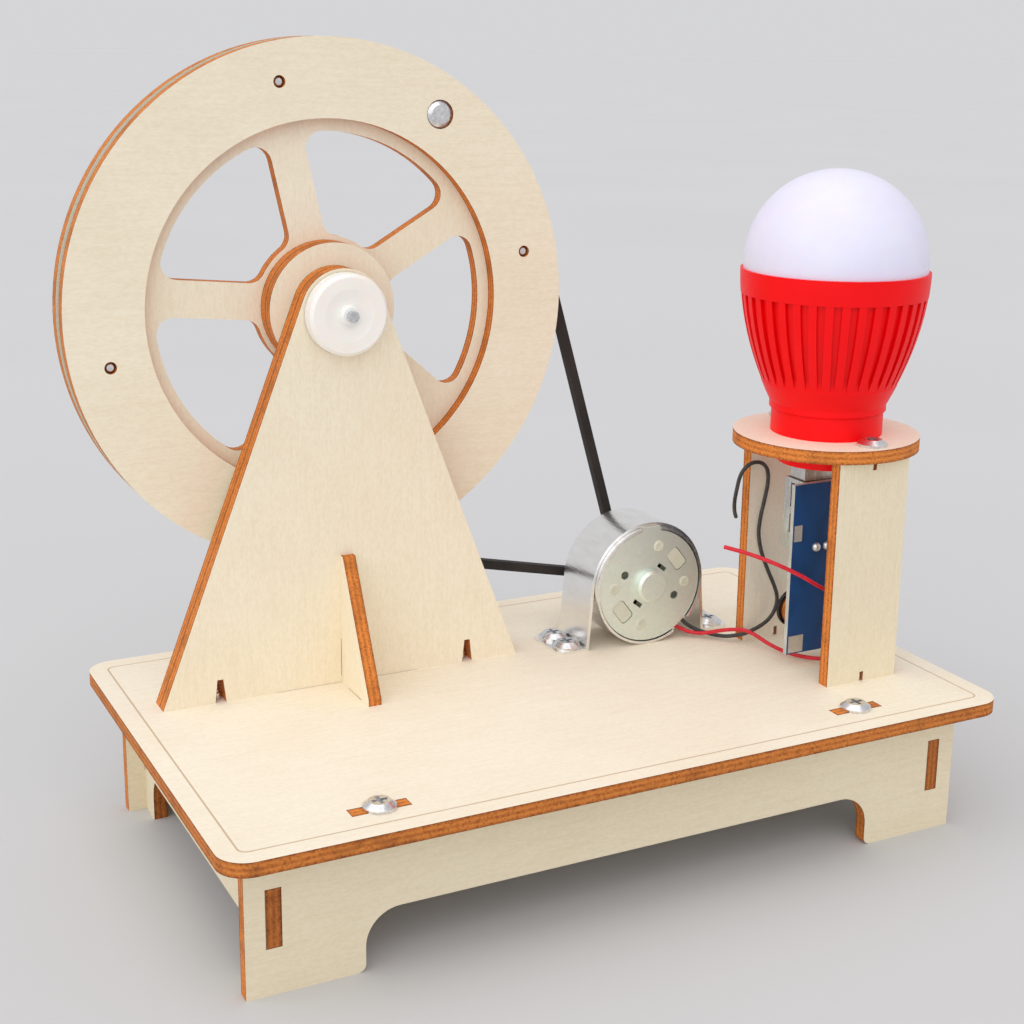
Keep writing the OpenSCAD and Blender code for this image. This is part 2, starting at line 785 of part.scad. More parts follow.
module stand_screws() {
  color(steel) translate(frame_shift) translate([0, 0, rail_h]) at_stand_screws()
    mirror([0, 0, 1]) wood_screw(ply + notch_h - screw_end_gap);
}

module axle() {
  color(steel) translate(frame_shift) along_y(axle_x, axle_front, axle_z)
    cylinder(d = axle_d, h = axle_back - axle_front);
}

// A nylon collar with its flat side at the origin
module collar() {
  rotate_extrude() polygon([[axle_d / 2, 0], [collar_d / 2, 0], [collar_d / 2, collar_t - collar_edge],
    [collar_d / 2 - collar_edge, collar_t], [collar_dish_d / 2, collar_t],
    [collar_dish_d / 2 - dish_slope, collar_floor], [collar_boss_d / 2, collar_floor],
    [collar_boss_d / 2 - collar_boss_slope, collar_floor + collar_boss_h],
    [axle_d / 2, collar_floor + collar_boss_h]]);
}

module front_collar() {
  color(nylon) translate(frame_shift) translate([axle_x, stand_y - run_gap, axle_z])
    rotate([90, 0, 0]) collar();
}

module rear_collar() {
  color(nylon) translate(frame_shift) along_y(axle_x, wheel_back, axle_z) collar();
}

module hub_disc(y) {
  wheel_layer(y) difference() {
    circle(hub_disc_d / 2);
    circle(axle_d / 2);
  }
}

module front_hub_disc() {
  color(wood) translate(frame_shift) hub_disc(hub_y);
}

module middle_hub_disc() {
  color(wood) translate(frame_shift) hub_disc(ring_front_y);
}

module rear_hub_disc() {
  color(wood) translate(frame_shift) hub_disc(ring_back_y);
}

// Holes for the wheel screws, with their radius, and for the crank screw
module wheel_holes(r) {
  for (i = [0 : wheel_screw_n - 1]) rotate(wheel_screw_angle + i * 360 / wheel_screw_n)
    translate([wheel_screw_r, 0]) circle(r);
  rotate(crank_angle) translate([wheel_screw_r, 0]) circle(crank_hole_r);
}

module side_ring(y, hole_r) {
  wheel_layer(y) difference() {
    circle(wheel_d / 2);
    circle(ring_in_r);
    wheel_holes(hole_r);
  }
}

module front_ring() {
  color(wood) translate(frame_shift) side_ring(ring_front_y, front_hole_d / 2);
}

module back_ring() {
  color(wood) translate(frame_shift) side_ring(ring_back_y, screw_hole_r);
}

// Outline of the window between two spokes, the first of them along X
function turned(p, a) = [p[0] * cos(a) - p[1] * sin(a), p[0] * sin(a) + p[1] * cos(a)];
function window_points() = concat(
  arc([window_out, window_side], window_r, -90, rim_angle, corner_steps),
  arc([0, 0], rim_in_r, rim_angle, spoke_step - rim_angle, window_steps),
  arc(turned([window_out, -window_side], spoke_step), window_r,
    spoke_step - rim_angle, spoke_step + 90, corner_steps),
  arc(turned([window_in, -window_side], spoke_step), window_r,
    spoke_step + 90, spoke_step + 180 - hub_angle, corner_steps),
  arc([0, 0], hub_r, spoke_step - hub_angle, hub_angle, window_steps),
  arc([window_in, window_side], window_r, 180 + hub_angle, 270, corner_steps));

module spoked_layer() {
  color(wood) translate(frame_shift) wheel_layer(spoke_y) difference() {
    circle(groove_r);
    circle(axle_d / 2);
    wheel_holes(screw_hole_r);
    for (i = [0 : spoke_n - 1]) rotate(spoke_angle + i * spoke_step)
      polygon(window_points());
  }
}

module wheel_screws() {
  color(steel) translate(frame_shift) for (i = [0 : wheel_screw_n - 1]) {
    a = wheel_screw_angle + i * 360 / wheel_screw_n;
    translate([axle_x + wheel_screw_r * cos(a), wheel_back, axle_z + wheel_screw_r * sin(a)])
      rotate([-90, 0, 0]) screw(small_head_d, small_head_h, 3 * ply - screw_end_gap, blunt_points());
  }
}

module crank_screw() {
  shank_l = crank_head_y - crank_tip_y - crank_tip_h;
  color(steel) translate(frame_shift) {
    along_y(crank_x, crank_tip_y, crank_z) {
      cylinder(d1 = crank_screw_d - 2 * crank_tip_slope, d2 = crank_screw_d, h = crank_tip_h);
      translate([0, 0, crank_tip_h - eps]) cylinder(d = crank_screw_d, h = shank_l + 2 * eps);
    }
    along_y(crank_x, crank_head_y, crank_z) difference() {
      cylinder(d1 = crank_head_d, d2 = crank_head_top_d, h = crank_head_h);
      for (a = [0, 90]) rotate(a) translate([0, 0, crank_head_h])
        cube([crank_cross_l, crank_cross_w, 2 * crank_cross_deep], center = true);
    }
  }
}

module crank_nut() {
  color(steel) translate(frame_shift) along_y(crank_x, wheel_back, crank_z) difference() {
    cylinder(d = crank_nut_w, h = crank_nut_h, $fn = 6);
    translate([0, 0, -cut]) cylinder(d = crank_screw_d, h = crank_nut_h + 2 * cut);
  }
}

module crank_grip() {
  bore_r = crank_screw_d / 2 + grip_gap;
  color(nylon) translate(frame_shift) along_y(crank_x, grip_y, crank_z) rotate_extrude()
    polygon([[bore_r, 0], [grip_d / 2 - grip_edge, 0], [grip_d / 2, grip_edge],
      [grip_d / 2, grip_l - grip_edge], [grip_d / 2 - grip_edge, grip_l], [bore_r, grip_l]]);
}

// Belt path round the wheel and the pulley, in a frame that points from the wheel to the motor
function belt_loop(d) = concat(
  arc([0, 0], belt_wheel_r + d, belt_leave, 360 - belt_leave, belt_wheel_steps),
  arc([belt_span, 0], belt_pulley_r + d, -belt_leave, belt_leave, belt_pulley_steps));

module drive_belt() {
  color(black) translate(frame_shift) translate([axle_x, 0, axle_z]) board_xz(belt_y - belt_s / 2, belt_s)
    rotate(belt_turn) difference() {
      polygon(belt_loop(belt_s / 2));
      polygon(belt_loop(-belt_s / 2));
    }
}

module motor_can() {
  color(steel) translate(frame_shift) along_y(motor_x, motor_y, motor_z) difference() {
    cylinder(d = motor_d, h = motor_l);
    translate([0, 0, -cut]) cylinder(r = can_in_r, h = motor_l - can_wall + cut);
    cylinder(r = bush_r, h = motor_l + cut);
    for (a = terminal_angles) rim_notch(a, wire_notch_w);
    rim_notch(cap_tab_angle, cap_tab_w + 2 * slot_gap);
  }
}

// What a notch in the can's open rim takes off, at an angle seen from behind the motor
module rim_notch(a, w) {
  rotate(-a) translate([can_in_r - cut, -w / 2, -cut]) cube([can_wall + 2 * cut, w, cut + notch_deep]);
}

// Places on the end cap, as a radius and an angle seen from behind the motor
module on_cap(r, a) {
  rotate(-a) translate([r, 0]) children();
}

// Outline of a pad in the end cap's window, widened by a gap
module pad_outline(gap) {
  rounded_rect(cap_pad_w + 2 * gap, cap_pad_l + 2 * gap, cap_pad_corner + gap);
}

module motor_end_cap() {
  color(tin) translate(frame_shift) along_y(motor_x, cap_y, motor_z) difference() {
    union() {
      cylinder(r = cap_r, h = cap_t);
      rotate_extrude() polygon([[0, cap_t / 2], [0, -boss_h], [boss_d / 2 - boss_edge, -boss_h],
        [boss_d / 2, -boss_h + boss_edge], [boss_d / 2, cap_t / 2]]);
      rotate(-cap_tab_angle) translate([cap_r - cap_tab_w / 2, -cap_tab_w / 2, 0])
        cube([motor_d / 2 - cap_r + cap_tab_w / 2, cap_tab_w, cap_t]);
    }
    translate([0, 0, -boss_h + boss_wall]) cylinder(r = shaft_d / 2 + shaft_gap, h = boss_h + cap_t + cut);
    for (a = pad_angles) on_cap(pad_place_r, a) translate([0, 0, -cut])
      linear_extrude(cap_t + 2 * cut) pad_outline(pad_gap);
    for (a = stake_angles) on_cap(stake_place_r, a) translate([0, 0, -cut])
      cylinder(r = stake_r, h = cap_t + 2 * cut);
    for (a = cap_slot_angles) on_cap(cap_slot_place_r, a)
      cube([cap_slot_w, cap_slot_l, 3 * cap_t], center = true);
    for (a = cap_hole_angles) on_cap(cap_hole_place_r, a) translate([0, 0, -cut])
      cylinder(r = cap_hole_r, h = cap_t + 2 * cut);
    for (a = terminal_angles) rotate(-a)
      translate([terminal_in_r - slot_gap, -terminal_w / 2 - slot_gap, cap_t - terminal_t - slot_gap])
        cube([cap_r, terminal_w + 2 * slot_gap, terminal_t + slot_gap + cut]);
  }
}

// Plastic card behind the end cap: its pads fill the cap's windows and its pins are spread over the cap
module brush_card() {
  color(nylon) translate(frame_shift) along_y(motor_x, card_y, motor_z) {
    linear_extrude(card_t) difference() {
      circle(cap_r - card_inset);
      circle(card_hole_r);
      for (a = cap_slot_angles) on_cap(cap_slot_place_r, a) square([cap_slot_w, cap_slot_l], center = true);
      for (a = cap_hole_angles) on_cap(cap_hole_place_r, a) circle(cap_hole_r);
    }
    for (a = pad_angles) on_cap(pad_place_r, a) translate([0, 0, -cap_t + pad_sink])
      linear_extrude(cap_t - pad_sink + eps) pad_outline(0);
    for (a = stake_angles) on_cap(stake_place_r, a) {
      translate([0, 0, -cap_t - eps]) cylinder(r = stake_r, h = cap_t + 2 * eps);
      translate([0, 0, -cap_t - stake_head_h]) difference() {
        cylinder(r1 = stake_head_r - stake_head_edge, r2 = stake_head_r, h = stake_head_h);
        translate([0, 0, -cut]) cylinder(r = stake_dimple_r, h = stake_dimple_deep + cut);
      }
    }
  }
}

module motor_bush() {
  color(brass) translate(frame_shift) along_y(motor_x, bush_y, motor_z) difference() {
    cylinder(r = bush_r, h = bush_l);
    translate([0, 0, -cut]) cylinder(r = shaft_d / 2 + shaft_gap, h = bush_l + 2 * cut);
  }
}

module motor_magnet() {
  color(dark_metal) translate(frame_shift) along_y(motor_x, motor_front - can_wall - magnet_l, motor_z)
    difference() {
      cylinder(r = can_in_r - eps, h = magnet_l);
      translate([0, 0, -cut]) cylinder(r = can_in_r - magnet_t, h = magnet_l + 2 * cut);
    }
}

module motor_terminals() {
  terminal_l = terminal_out_r - terminal_in_r;
  color(tin) translate(frame_shift) along_y(motor_x, card_y - terminal_t, motor_z) for (a = terminal_angles)
    rotate(-a) translate([terminal_in_r, -terminal_w / 2, 0]) cube([terminal_l, terminal_w, terminal_t]);
}

// Two brush springs on the card, one at each side of the commutator
module motor_brushes() {
  color(copper) translate(frame_shift) along_y(motor_x, brush_y, motor_z) for (s = [-1, 1])
    translate([s * (commutator_r + brush_gap + brush_t / 2), 0, brush_w / 2])
      cube([brush_t, brush_l, brush_w], center = true);
}

module motor_shaft() {
  color(steel) translate(frame_shift) along_y(motor_x, shaft_rear, motor_z)
    cylinder(d = shaft_d, h = shaft_front - shaft_rear);
}

// Poles round the shaft, each with a curved shoe
module rotor_core() {
  shoe_reach = 2 * core_r;
  shoe_x = shoe_reach * cos(shoe_half_angle);
  shoe_y = shoe_reach * sin(shoe_half_angle);
  color(dark_metal) translate(frame_shift) along_y(motor_x, core_y, motor_z) linear_extrude(core_l)
  difference() {
    union() {
      circle(core_hub_r);
      for (i = [0 : pole_n - 1]) rotate(i * 360 / pole_n) {
        translate([0, -tooth_w / 2]) square([core_r - shoe_t / 2, tooth_w]);
        intersection() {
          difference() {
            circle(core_r);
            circle(core_r - shoe_t);
          }
          polygon([[0, 0], [shoe_x, -shoe_y], [shoe_x, shoe_y]]);
        }
      }
    }
    circle(shaft_d / 2);
  }
}

// One coil round each pole
module rotor_windings() {
  winding_l = core_r - shoe_t - core_hub_r - 2 * winding_gap;
  color(copper) translate(frame_shift) along_y(motor_x, core_y, motor_z) for (i = [0 : pole_n - 1])
    rotate(i * 360 / pole_n) translate([core_hub_r + winding_gap, 0, core_l / 2]) rotate([0, 90, 0])
      linear_extrude(winding_l) difference() {
        rounded_rect(core_l + 2 * winding_t, tooth_w + 2 * winding_t, winding_corner);
        square([core_l, tooth_w], center = true);
      }
}

module commutator() {
  color(copper) translate(frame_shift) along_y(motor_x, commutator_y, motor_z) difference() {
    cylinder(r = commutator_r, h = commutator_l);
    translate([0, 0, -cut]) cylinder(r = shaft_d / 2, h = commutator_l + 2 * cut);
  }
}

module motor_pulley() {
  bore_r = shaft_d / 2;
  floor_r = pulley_floor_d / 2;
  flange_r = pulley_flange_d / 2;
  far_flange = pulley_flange_t + ply;
  color(nylon) translate(frame_shift) along_y(motor_x, belt_y - pulley_l / 2, motor_z) rotate_extrude()
    polygon([[bore_r, 0], [flange_r, 0], [flange_r, pulley_flange_t], [floor_r, pulley_flange_t],
      [floor_r, far_flange], [flange_r, far_flange], [flange_r, pulley_l], [bore_r, pulley_l]]);
}

// Angle at which a line from the foot of a leg touches a circle round the motor's axis
function touch_angle(x, z, r) = atan2(z, x) + acos(r / sqrt(x * x + z * z));

// A strap bent over the motor, with an ear on the plate at each side
module strap_outline() {
  floor_z = -motor_d / 2;
  ear_z = floor_z + strap_t;
  out_angle = touch_angle(leg_out_x, ear_z, strap_out_r);
  in_angle = touch_angle(leg_in_x, floor_z, strap_r);
  polygon(concat([[ear_end, floor_z], [ear_end, ear_z], [leg_out_x, ear_z]],
    arc([0, 0], strap_out_r, out_angle, 180 - out_angle, strap_steps),
    [[-leg_out_x, ear_z], [-ear_end, ear_z], [-ear_end, floor_z], [-leg_in_x, floor_z]],
    arc([0, 0], strap_r, 180 - in_angle, in_angle, strap_steps), [[leg_in_x, floor_z]]));
}

module motor_strap() {
  color(steel) translate(frame_shift) difference() {
    translate([motor_x, 0, motor_z]) board_xz(strap_y, strap_w) strap_outline();
    translate([0, 0, base_h - cut]) at_ear_screws() cylinder(r = screw_hole_r, h = strap_t + 2 * cut);
    for (s = [-1, 1], e = [0, 1])
      translate([motor_x + s * ear_end, strap_y + e * strap_w, base_h + strap_t / 2]) rotate(45)
        cube([ear_corner, ear_corner, 2 * strap_t], center = true);
  }
}

module strap_screws() {
  color(steel) translate(frame_shift) translate([0, 0, base_h + strap_t]) at_ear_screws()
    wood_screw(ply + strap_t + screw_out);
}

// A column panel with a screw hole and a small notch at the middle of its top and bottom edges
module column_panel(y) {
  difference() {
    translate([column_x, 0, base_h]) board_xz(y, ply) difference() {
      translate([-panel_w / 2, 0]) square([panel_w, panel_h]);
      translate([-panel_notch_w / 2, -cut]) square([panel_notch_w, panel_notch_h + cut]);
      translate([-panel_notch_w / 2, panel_h - panel_notch_h]) square([panel_notch_w, panel_notch_h + cut]);
    }
    for (z = [base_h - cut, panel_top - screw_l]) translate([column_x, y + ply / 2, z])
      cylinder(r = screw_hole_r, h = screw_l + cut);
  }
}

module column_front_panel() {
  color(wood) translate(frame_shift) column_panel(front_panel_y);
}

module column_back_panel() {
  color(wood) translate(frame_shift) column_panel(back_panel_y);
}

module column_disc() {
  color(wood) translate(frame_shift) translate([0, 0, panel_top]) linear_extrude(ply) difference() {
    translate([column_x, column_y]) circle(disc_d / 2);
    translate([column_x, column_y]) circle(spigot_d / 2 + spigot_gap);
    at_panel_screws() circle(screw_hole_r);
  }
}

module column_screws() {
  color(steel) translate(frame_shift) translate([0, 0, rail_h]) at_panel_screws()
    mirror([0, 0, 1]) wood_screw(screw_l);
}

module disc_screws() {
  color(steel) translate(frame_shift) translate([0, 0, disc_top]) at_panel_screws()
    wood_screw(screw_l);
}

// Radius of the red body's outside at a height above the round top board
function side_r(z) = shoulder_r + (bulb_r - shoulder_r)
  * (1 - pow(1 - (z - shoulder_h) / (bulb_body_h - shoulder_h), side_power));

// Points up the red body's outside between two heights, moved outwards by a distance
function side_points(low, high, d) = [for (i = [0 : side_steps])
  let (z = low + (high - low) * i / side_steps) [side_r(z) + d, z]];
function backwards(points) = [for (i = [len(points) - 1 : -1 : 0]) points[i]];

// A rib of the red body, whose ends go under the plain bands below and above the grooves
module bulb_rib() {
  rotate([90, 0, 0]) translate([0, 0, -rib_w / 2]) linear_extrude(rib_w)
    polygon(concat(side_points(rib_low, rib_top + rib_root, -rib_sink),
      backwards(side_points(rib_low, rib_top + rib_root, -rib_root))));
}

module bulb_body() {
  hollow_r = neck_r - bulb_wall;
  color(red) translate(frame_shift) translate([column_x, column_y, disc_top]) difference() {
    union() {
      rotate_extrude() polygon(concat(
        [[0, 0], [neck_r, 0], [neck_r, neck_h], [shoulder_r, neck_h + shoulder_edge]],
        side_points(shoulder_h, rib_low, 0), side_points(rib_low + rib_fade, rib_top, -rib_deep),
        side_points(rib_top, bulb_body_h, 0), [[0, bulb_body_h]]));
      translate([0, 0, -ply - spigot_h]) cylinder(d = spigot_d, h = ply + spigot_h + eps);
      for (i = [0 : rib_n - 1]) rotate(i * 360 / rib_n) bulb_rib();
    }
    rotate_extrude() polygon(concat([[0, neck_floor_t], [hollow_r, neck_floor_t], [hollow_r, shoulder_h]],
      side_points(shoulder_h, bulb_body_h, -bulb_wall),
      [[bulb_r - bulb_wall, bulb_body_h + cut], [0, bulb_body_h + cut]]));
  }
}

// The part of a ball round the origin that lies above the given height
module ball_above(r, z) {
  reach = r + cut;
  intersection() {
    sphere(r);
    translate([-reach, -reach, z]) cube([2 * reach, 2 * reach, reach - z]);
  }
}

// The white dome: a hollow ball cut off at the red rim, with a short skirt inside the rim
module bulb_dome() {
  dome_r = dome_d / 2;
  skirt_r = min(side_r(bulb_body_h - dome_skirt) - bulb_wall - slot_gap, dome_r - dome_wall);
  bore_h = dome_skirt + dome_lift + 2 * cut;
  color(white) translate(frame_shift) translate([column_x, column_y, body_top]) difference() {
    union() {
      translate([0, 0, dome_lift]) ball_above(dome_r, -dome_lift);
      translate([0, 0, -dome_skirt]) cylinder(r = skirt_r, h = dome_skirt + eps);
    }
    translate([0, 0, dome_lift]) ball_above(dome_r - dome_wall, 0);
    translate([0, 0, -dome_skirt - cut]) cylinder(r = skirt_r - dome_wall, h = bore_h);
  }
}

module led_board() {
  color(white) translate(frame_shift) translate([column_x, column_y, led_board_z])
    cylinder(r = side_r(bulb_body_h - led_drop) - bulb_wall - slot_gap, h = led_board_t);
}

module led_chips() {
  color(brass) translate(frame_shift) translate([column_x, column_y, led_board_z + led_board_t])
    for (i = [0 : led_n - 1]) rotate(i * 360 / led_n) translate([led_r, 0, led_h / 2])
      cube([led_s, led_s, led_h], center = true);
}

// A rectangular tube that stands on z, centred on the column
module rect_tube(w, t, wall, z, h) {
  translate([column_x, column_y, z]) linear_extrude(h) difference() {
    square([w, t], center = true);
    square([w - 2 * wall, t - 2 * wall], center = true);
  }
}

module plug_shell() {
  color(steel) translate(frame_shift) rect_tube(plug_w, plug_t, plug_wall, plug_low, plug_l);
}

module plug_insert() {
  color(white) translate(frame_shift)
    translate([column_x - insert_w / 2, column_y + plug_t / 2 - plug_wall - insert_t,
      plug_low + insert_sink]) cube([insert_w, insert_t, plug_l - insert_sink]);
}

// A board with its solder side to the front
module circuit_board() {
  color(board_blue) translate(frame_shift) translate([pcb_x - pcb_w / 2, pcb_y, pcb_low])
    cube([pcb_w, pcb_t, pcb_h]);
}

// Socket shell with two spring windows in each side wall
module socket_shell() {
  color(steel) translate(frame_shift) difference() {
    rect_tube(socket_w, socket_t, socket_wall, socket_low, socket_depth);
    for (i = [0 : len(spring_window_h) - 1])
      translate([column_x, column_y, socket_top - spring_window_drop[i] - spring_window_h[i] / 2])
        cube([socket_w + cut, spring_window_w, spring_window_h[i]], center = true);
  }
}

// Plastic floor and tongue inside the socket
module socket_tongue() {
  color(nylon) translate(frame_shift) {
    translate([column_x, column_y, socket_low]) linear_extrude(socket_floor_t)
      square([socket_in_w, socket_in_t], center = true);
    translate([column_x - tongue_w / 2, column_y - plug_t / 2 + plug_wall + tongue_gap, socket_low])
      cube([tongue_w, tongue_t, socket_depth - tongue_sink]);
  }
}

module coil_core() {
  color(dark_metal) translate(frame_shift) along_y(coil_x, pcb_back_y, coil_z) {
    cylinder(d = coil_d, h = coil_flange_t);
    cylinder(r = coil_waist_r, h = coil_h);
    translate([0, 0, coil_h - coil_flange_t]) cylinder(d = coil_d, h = coil_flange_t);
  }
}

module coil_winding() {
  color(copper) translate(frame_shift) along_y(coil_x, pcb_back_y + coil_flange_t, coil_z) difference() {
    cylinder(d = coil_d - 2 * coil_fill, h = coil_h - 2 * coil_flange_t);
    translate([0, 0, -cut]) cylinder(r = coil_waist_r, h = coil_h + cut);
  }
}

module boost_chip() {
  color(black) translate(frame_shift) translate([chip_x - chip_w / 2, pcb_back_y, chip_z - chip_h / 2])
    cube([chip_w, chip_t, chip_h]);
}

module diode() {
  color(black) translate(frame_shift) translate([diode_x - diode_w / 2, pcb_back_y, diode_z - diode_h / 2])
    cube([diode_w, diode_t, diode_h]);
}

module capacitors() {
  color(tin) translate(frame_shift) for (z = capacitor_z) along_y(chip_x, pcb_back_y, z)
    cylinder(d = capacitor_d, h = capacitor_h);
}

// Tinned pads and pin ends on the solder side
module solder_joints() {
  color(tin) translate(frame_shift) {
    for (s = [-1, 1]) translate([pcb_x + s * (pcb_w / 2 - pad_inset - pad_s / 2), pcb_y - pad_t / 2,
      pcb_low + pad_inset + pad_s / 2]) cube([pad_s, pad_t, pad_s], center = true);
    for (s = [-1, 1]) translate([pcb_x + s * (pcb_w / 2 - pad_inset - lug_w / 2), pcb_y - pad_t / 2, lug_z])
      cube([lug_w, pad_t, lug_h], center = true);
    for (i = [0 : pin_n - 1]) along_y(column_x + (i - (pin_n - 1) / 2) * pin_pitch, pcb_y, pin_z)
      rotate_extrude() polygon(concat([[0, 0]], arc([0, 0], pin_r, 0, -90, pin_steps)));
  }
}

// A round wire along a route: a ring of corners at each point, square to the way it runs there
function unit(v) = v / norm(v);
function heading(route, i) = unit(route[min(i + 1, len(route) - 1)] - route[max(i - 1, 0)]);
function side_of(d) = unit(cross(d, abs(d[1]) < 0.8 ? [0, 1, 0] : [1, 0, 0]));
function carried(side, d) = unit(side - d * (side * d));
function sides(route, i) = i == 0 ? side_of(heading(route, 0))
  : carried(sides(route, i - 1), heading(route, i));
function ring(route, i) = let (d = heading(route, i), u = sides(route, i), v = cross(d, u))
  [for (k = [0 : wire_sides - 1]) let (a = k * 360 / wire_sides)
    route[i] + wire_d / 2 * (cos(a) * u + sin(a) * v)];

module wire(route) {
  last = len(route) - 1;
  corners = [for (i = [0 : last]) each ring(route, i)];
  start = [for (k = [0 : wire_sides - 1]) k];
  finish = [for (k = [wire_sides - 1 : -1 : 0]) last * wire_sides + k];
  walls = [for (i = [0 : last - 1], k = [0 : wire_sides - 1])
    let (a = i * wire_sides + k, b = i * wire_sides + (k + 1) % wire_sides)
    each [[a, a + wire_sides, b], [b, a + wire_sides, b + wire_sides]]];
  polyhedron(corners, concat([start], walls, [finish]));
}

module red_wire() {
  color(red) translate(frame_shift) wire(red_route);
}

module black_wire() {
  color(black) translate(frame_shift) wire(black_route);
}

base_plate();
front_rail();
back_rail();
left_end_panel();
right_end_panel();
base_screws();
stand_front_board();
stand_back_board();
stand_brace();
stand_screws();
axle();
front_collar();
rear_collar();
front_hub_disc();
middle_hub_disc();
rear_hub_disc();
front_ring();
spoked_layer();
back_ring();
wheel_screws();
crank_screw();
crank_nut();
crank_grip();
drive_belt();
motor_can();
motor_end_cap();
brush_card();
motor_bush();
motor_magnet();
motor_terminals();
motor_brushes();
motor_shaft();
rotor_core();
rotor_windings();
commutator();
motor_pulley();
motor_strap();
strap_screws();
column_front_panel();
column_back_panel();
column_disc();
column_screws();
disc_screws();
bulb_body();
bulb_dome();
led_board();
led_chips();
plug_shell();
plug_insert();
circuit_board();
socket_shell();
socket_tongue();
coil_core();
coil_winding();
boost_chip();
diode();
capacitors();
solder_joints();
red_wire();
black_wire();
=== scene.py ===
import math

import bpy
from mathutils import Euler, Matrix, Vector


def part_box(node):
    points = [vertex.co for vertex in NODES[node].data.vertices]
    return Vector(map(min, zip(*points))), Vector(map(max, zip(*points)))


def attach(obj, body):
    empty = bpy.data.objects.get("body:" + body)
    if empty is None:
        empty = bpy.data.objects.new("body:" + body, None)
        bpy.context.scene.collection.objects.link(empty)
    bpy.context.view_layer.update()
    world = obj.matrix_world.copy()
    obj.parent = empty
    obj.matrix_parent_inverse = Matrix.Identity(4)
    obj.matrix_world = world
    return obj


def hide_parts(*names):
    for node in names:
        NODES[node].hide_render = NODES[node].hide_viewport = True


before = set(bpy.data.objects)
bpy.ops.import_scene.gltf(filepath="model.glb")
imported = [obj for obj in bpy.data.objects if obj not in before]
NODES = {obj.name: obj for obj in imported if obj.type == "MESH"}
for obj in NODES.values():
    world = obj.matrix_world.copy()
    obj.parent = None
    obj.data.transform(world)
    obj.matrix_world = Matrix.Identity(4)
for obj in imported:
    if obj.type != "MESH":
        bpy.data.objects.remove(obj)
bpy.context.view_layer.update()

# Lengths are written in millimetres, unless a comment says metres; Blender and the frame have metres
MM = 0.001
AXES = "XYZ"

PLATE_LOW, PLATE_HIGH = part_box("base_plate")
PLATE_MIDDLE = (PLATE_LOW + PLATE_HIGH) / 2
KIT = Vector((PLATE_MIDDLE.x, PLATE_MIDDLE.y, 0.0))


def kit(x, y, z):
    """A place given in millimetres from the middle of the base, on the table."""
    return KIT + Vector((x, y, z)) * MM


def put_in_scene(name, data):
    """A new object in the scene."""
    thing = bpy.data.objects.new(name, data)
    bpy.context.scene.collection.objects.link(thing)
    return thing


# Camera: its angles are in degrees, and its near and far limits in metres
CAMERA_PLACE = (-137.3, -257.8, 144.4)
CAMERA_PITCH = 75.9
CAMERA_YAW = -27.16
CAMERA_ROLL = 0.75
CAMERA_LENS = 57.8
CAMERA_SENSOR = 36.0
CAMERA_SHIFT = (-0.0036, -0.0519)
CAMERA_LIMITS = (0.01, 100.0)


def make_camera():
    """A camera at the photograph's viewing angle."""
    data = bpy.data.cameras.new("photo_camera")
    data.lens = CAMERA_LENS
    data.sensor_width = CAMERA_SENSOR
    data.shift_x, data.shift_y = CAMERA_SHIFT
    data.clip_start, data.clip_end = CAMERA_LIMITS
    camera = put_in_scene("photo_camera", data)
    camera.location = kit(*CAMERA_PLACE)
    aim = Euler((math.radians(CAMERA_PITCH), 0.0, math.radians(CAMERA_YAW))).to_matrix()
    roll = Matrix.Rotation(math.radians(CAMERA_ROLL), 3, "Z")
    camera.rotation_euler = (aim @ roll).to_euler()
    bpy.context.scene.camera = camera


make_camera()

# Shader helpers: noise mostly lies in the first range, and soft clouds use the middle of it
NOISE_RANGE = (0.3, 0.7)
CLOUD_RANGE = (0.35, 0.65)
UNSTRETCHED = (1.0, 1.0, 1.0)
# How squarely a surface faces along a board's thickness, where it is a face and where it is an edge
FACE_AND_EDGE = (0.75, 0.55)
# The share of light that reaches an open surface and the bottom of a groove, which places the painted groove
# shade
OPEN_AND_GROOVE = (0.95, 0.5)


def srgb(r, g, b):
    """A colour written as 0 to 255, as the linear values that shaders take."""
    def linear(c):
        c /= 255.0
        return c / 12.92 if c <= 0.04045 else ((c + 0.055) / 1.055) ** 2.4
    return (linear(r), linear(g), linear(b), 1.0)


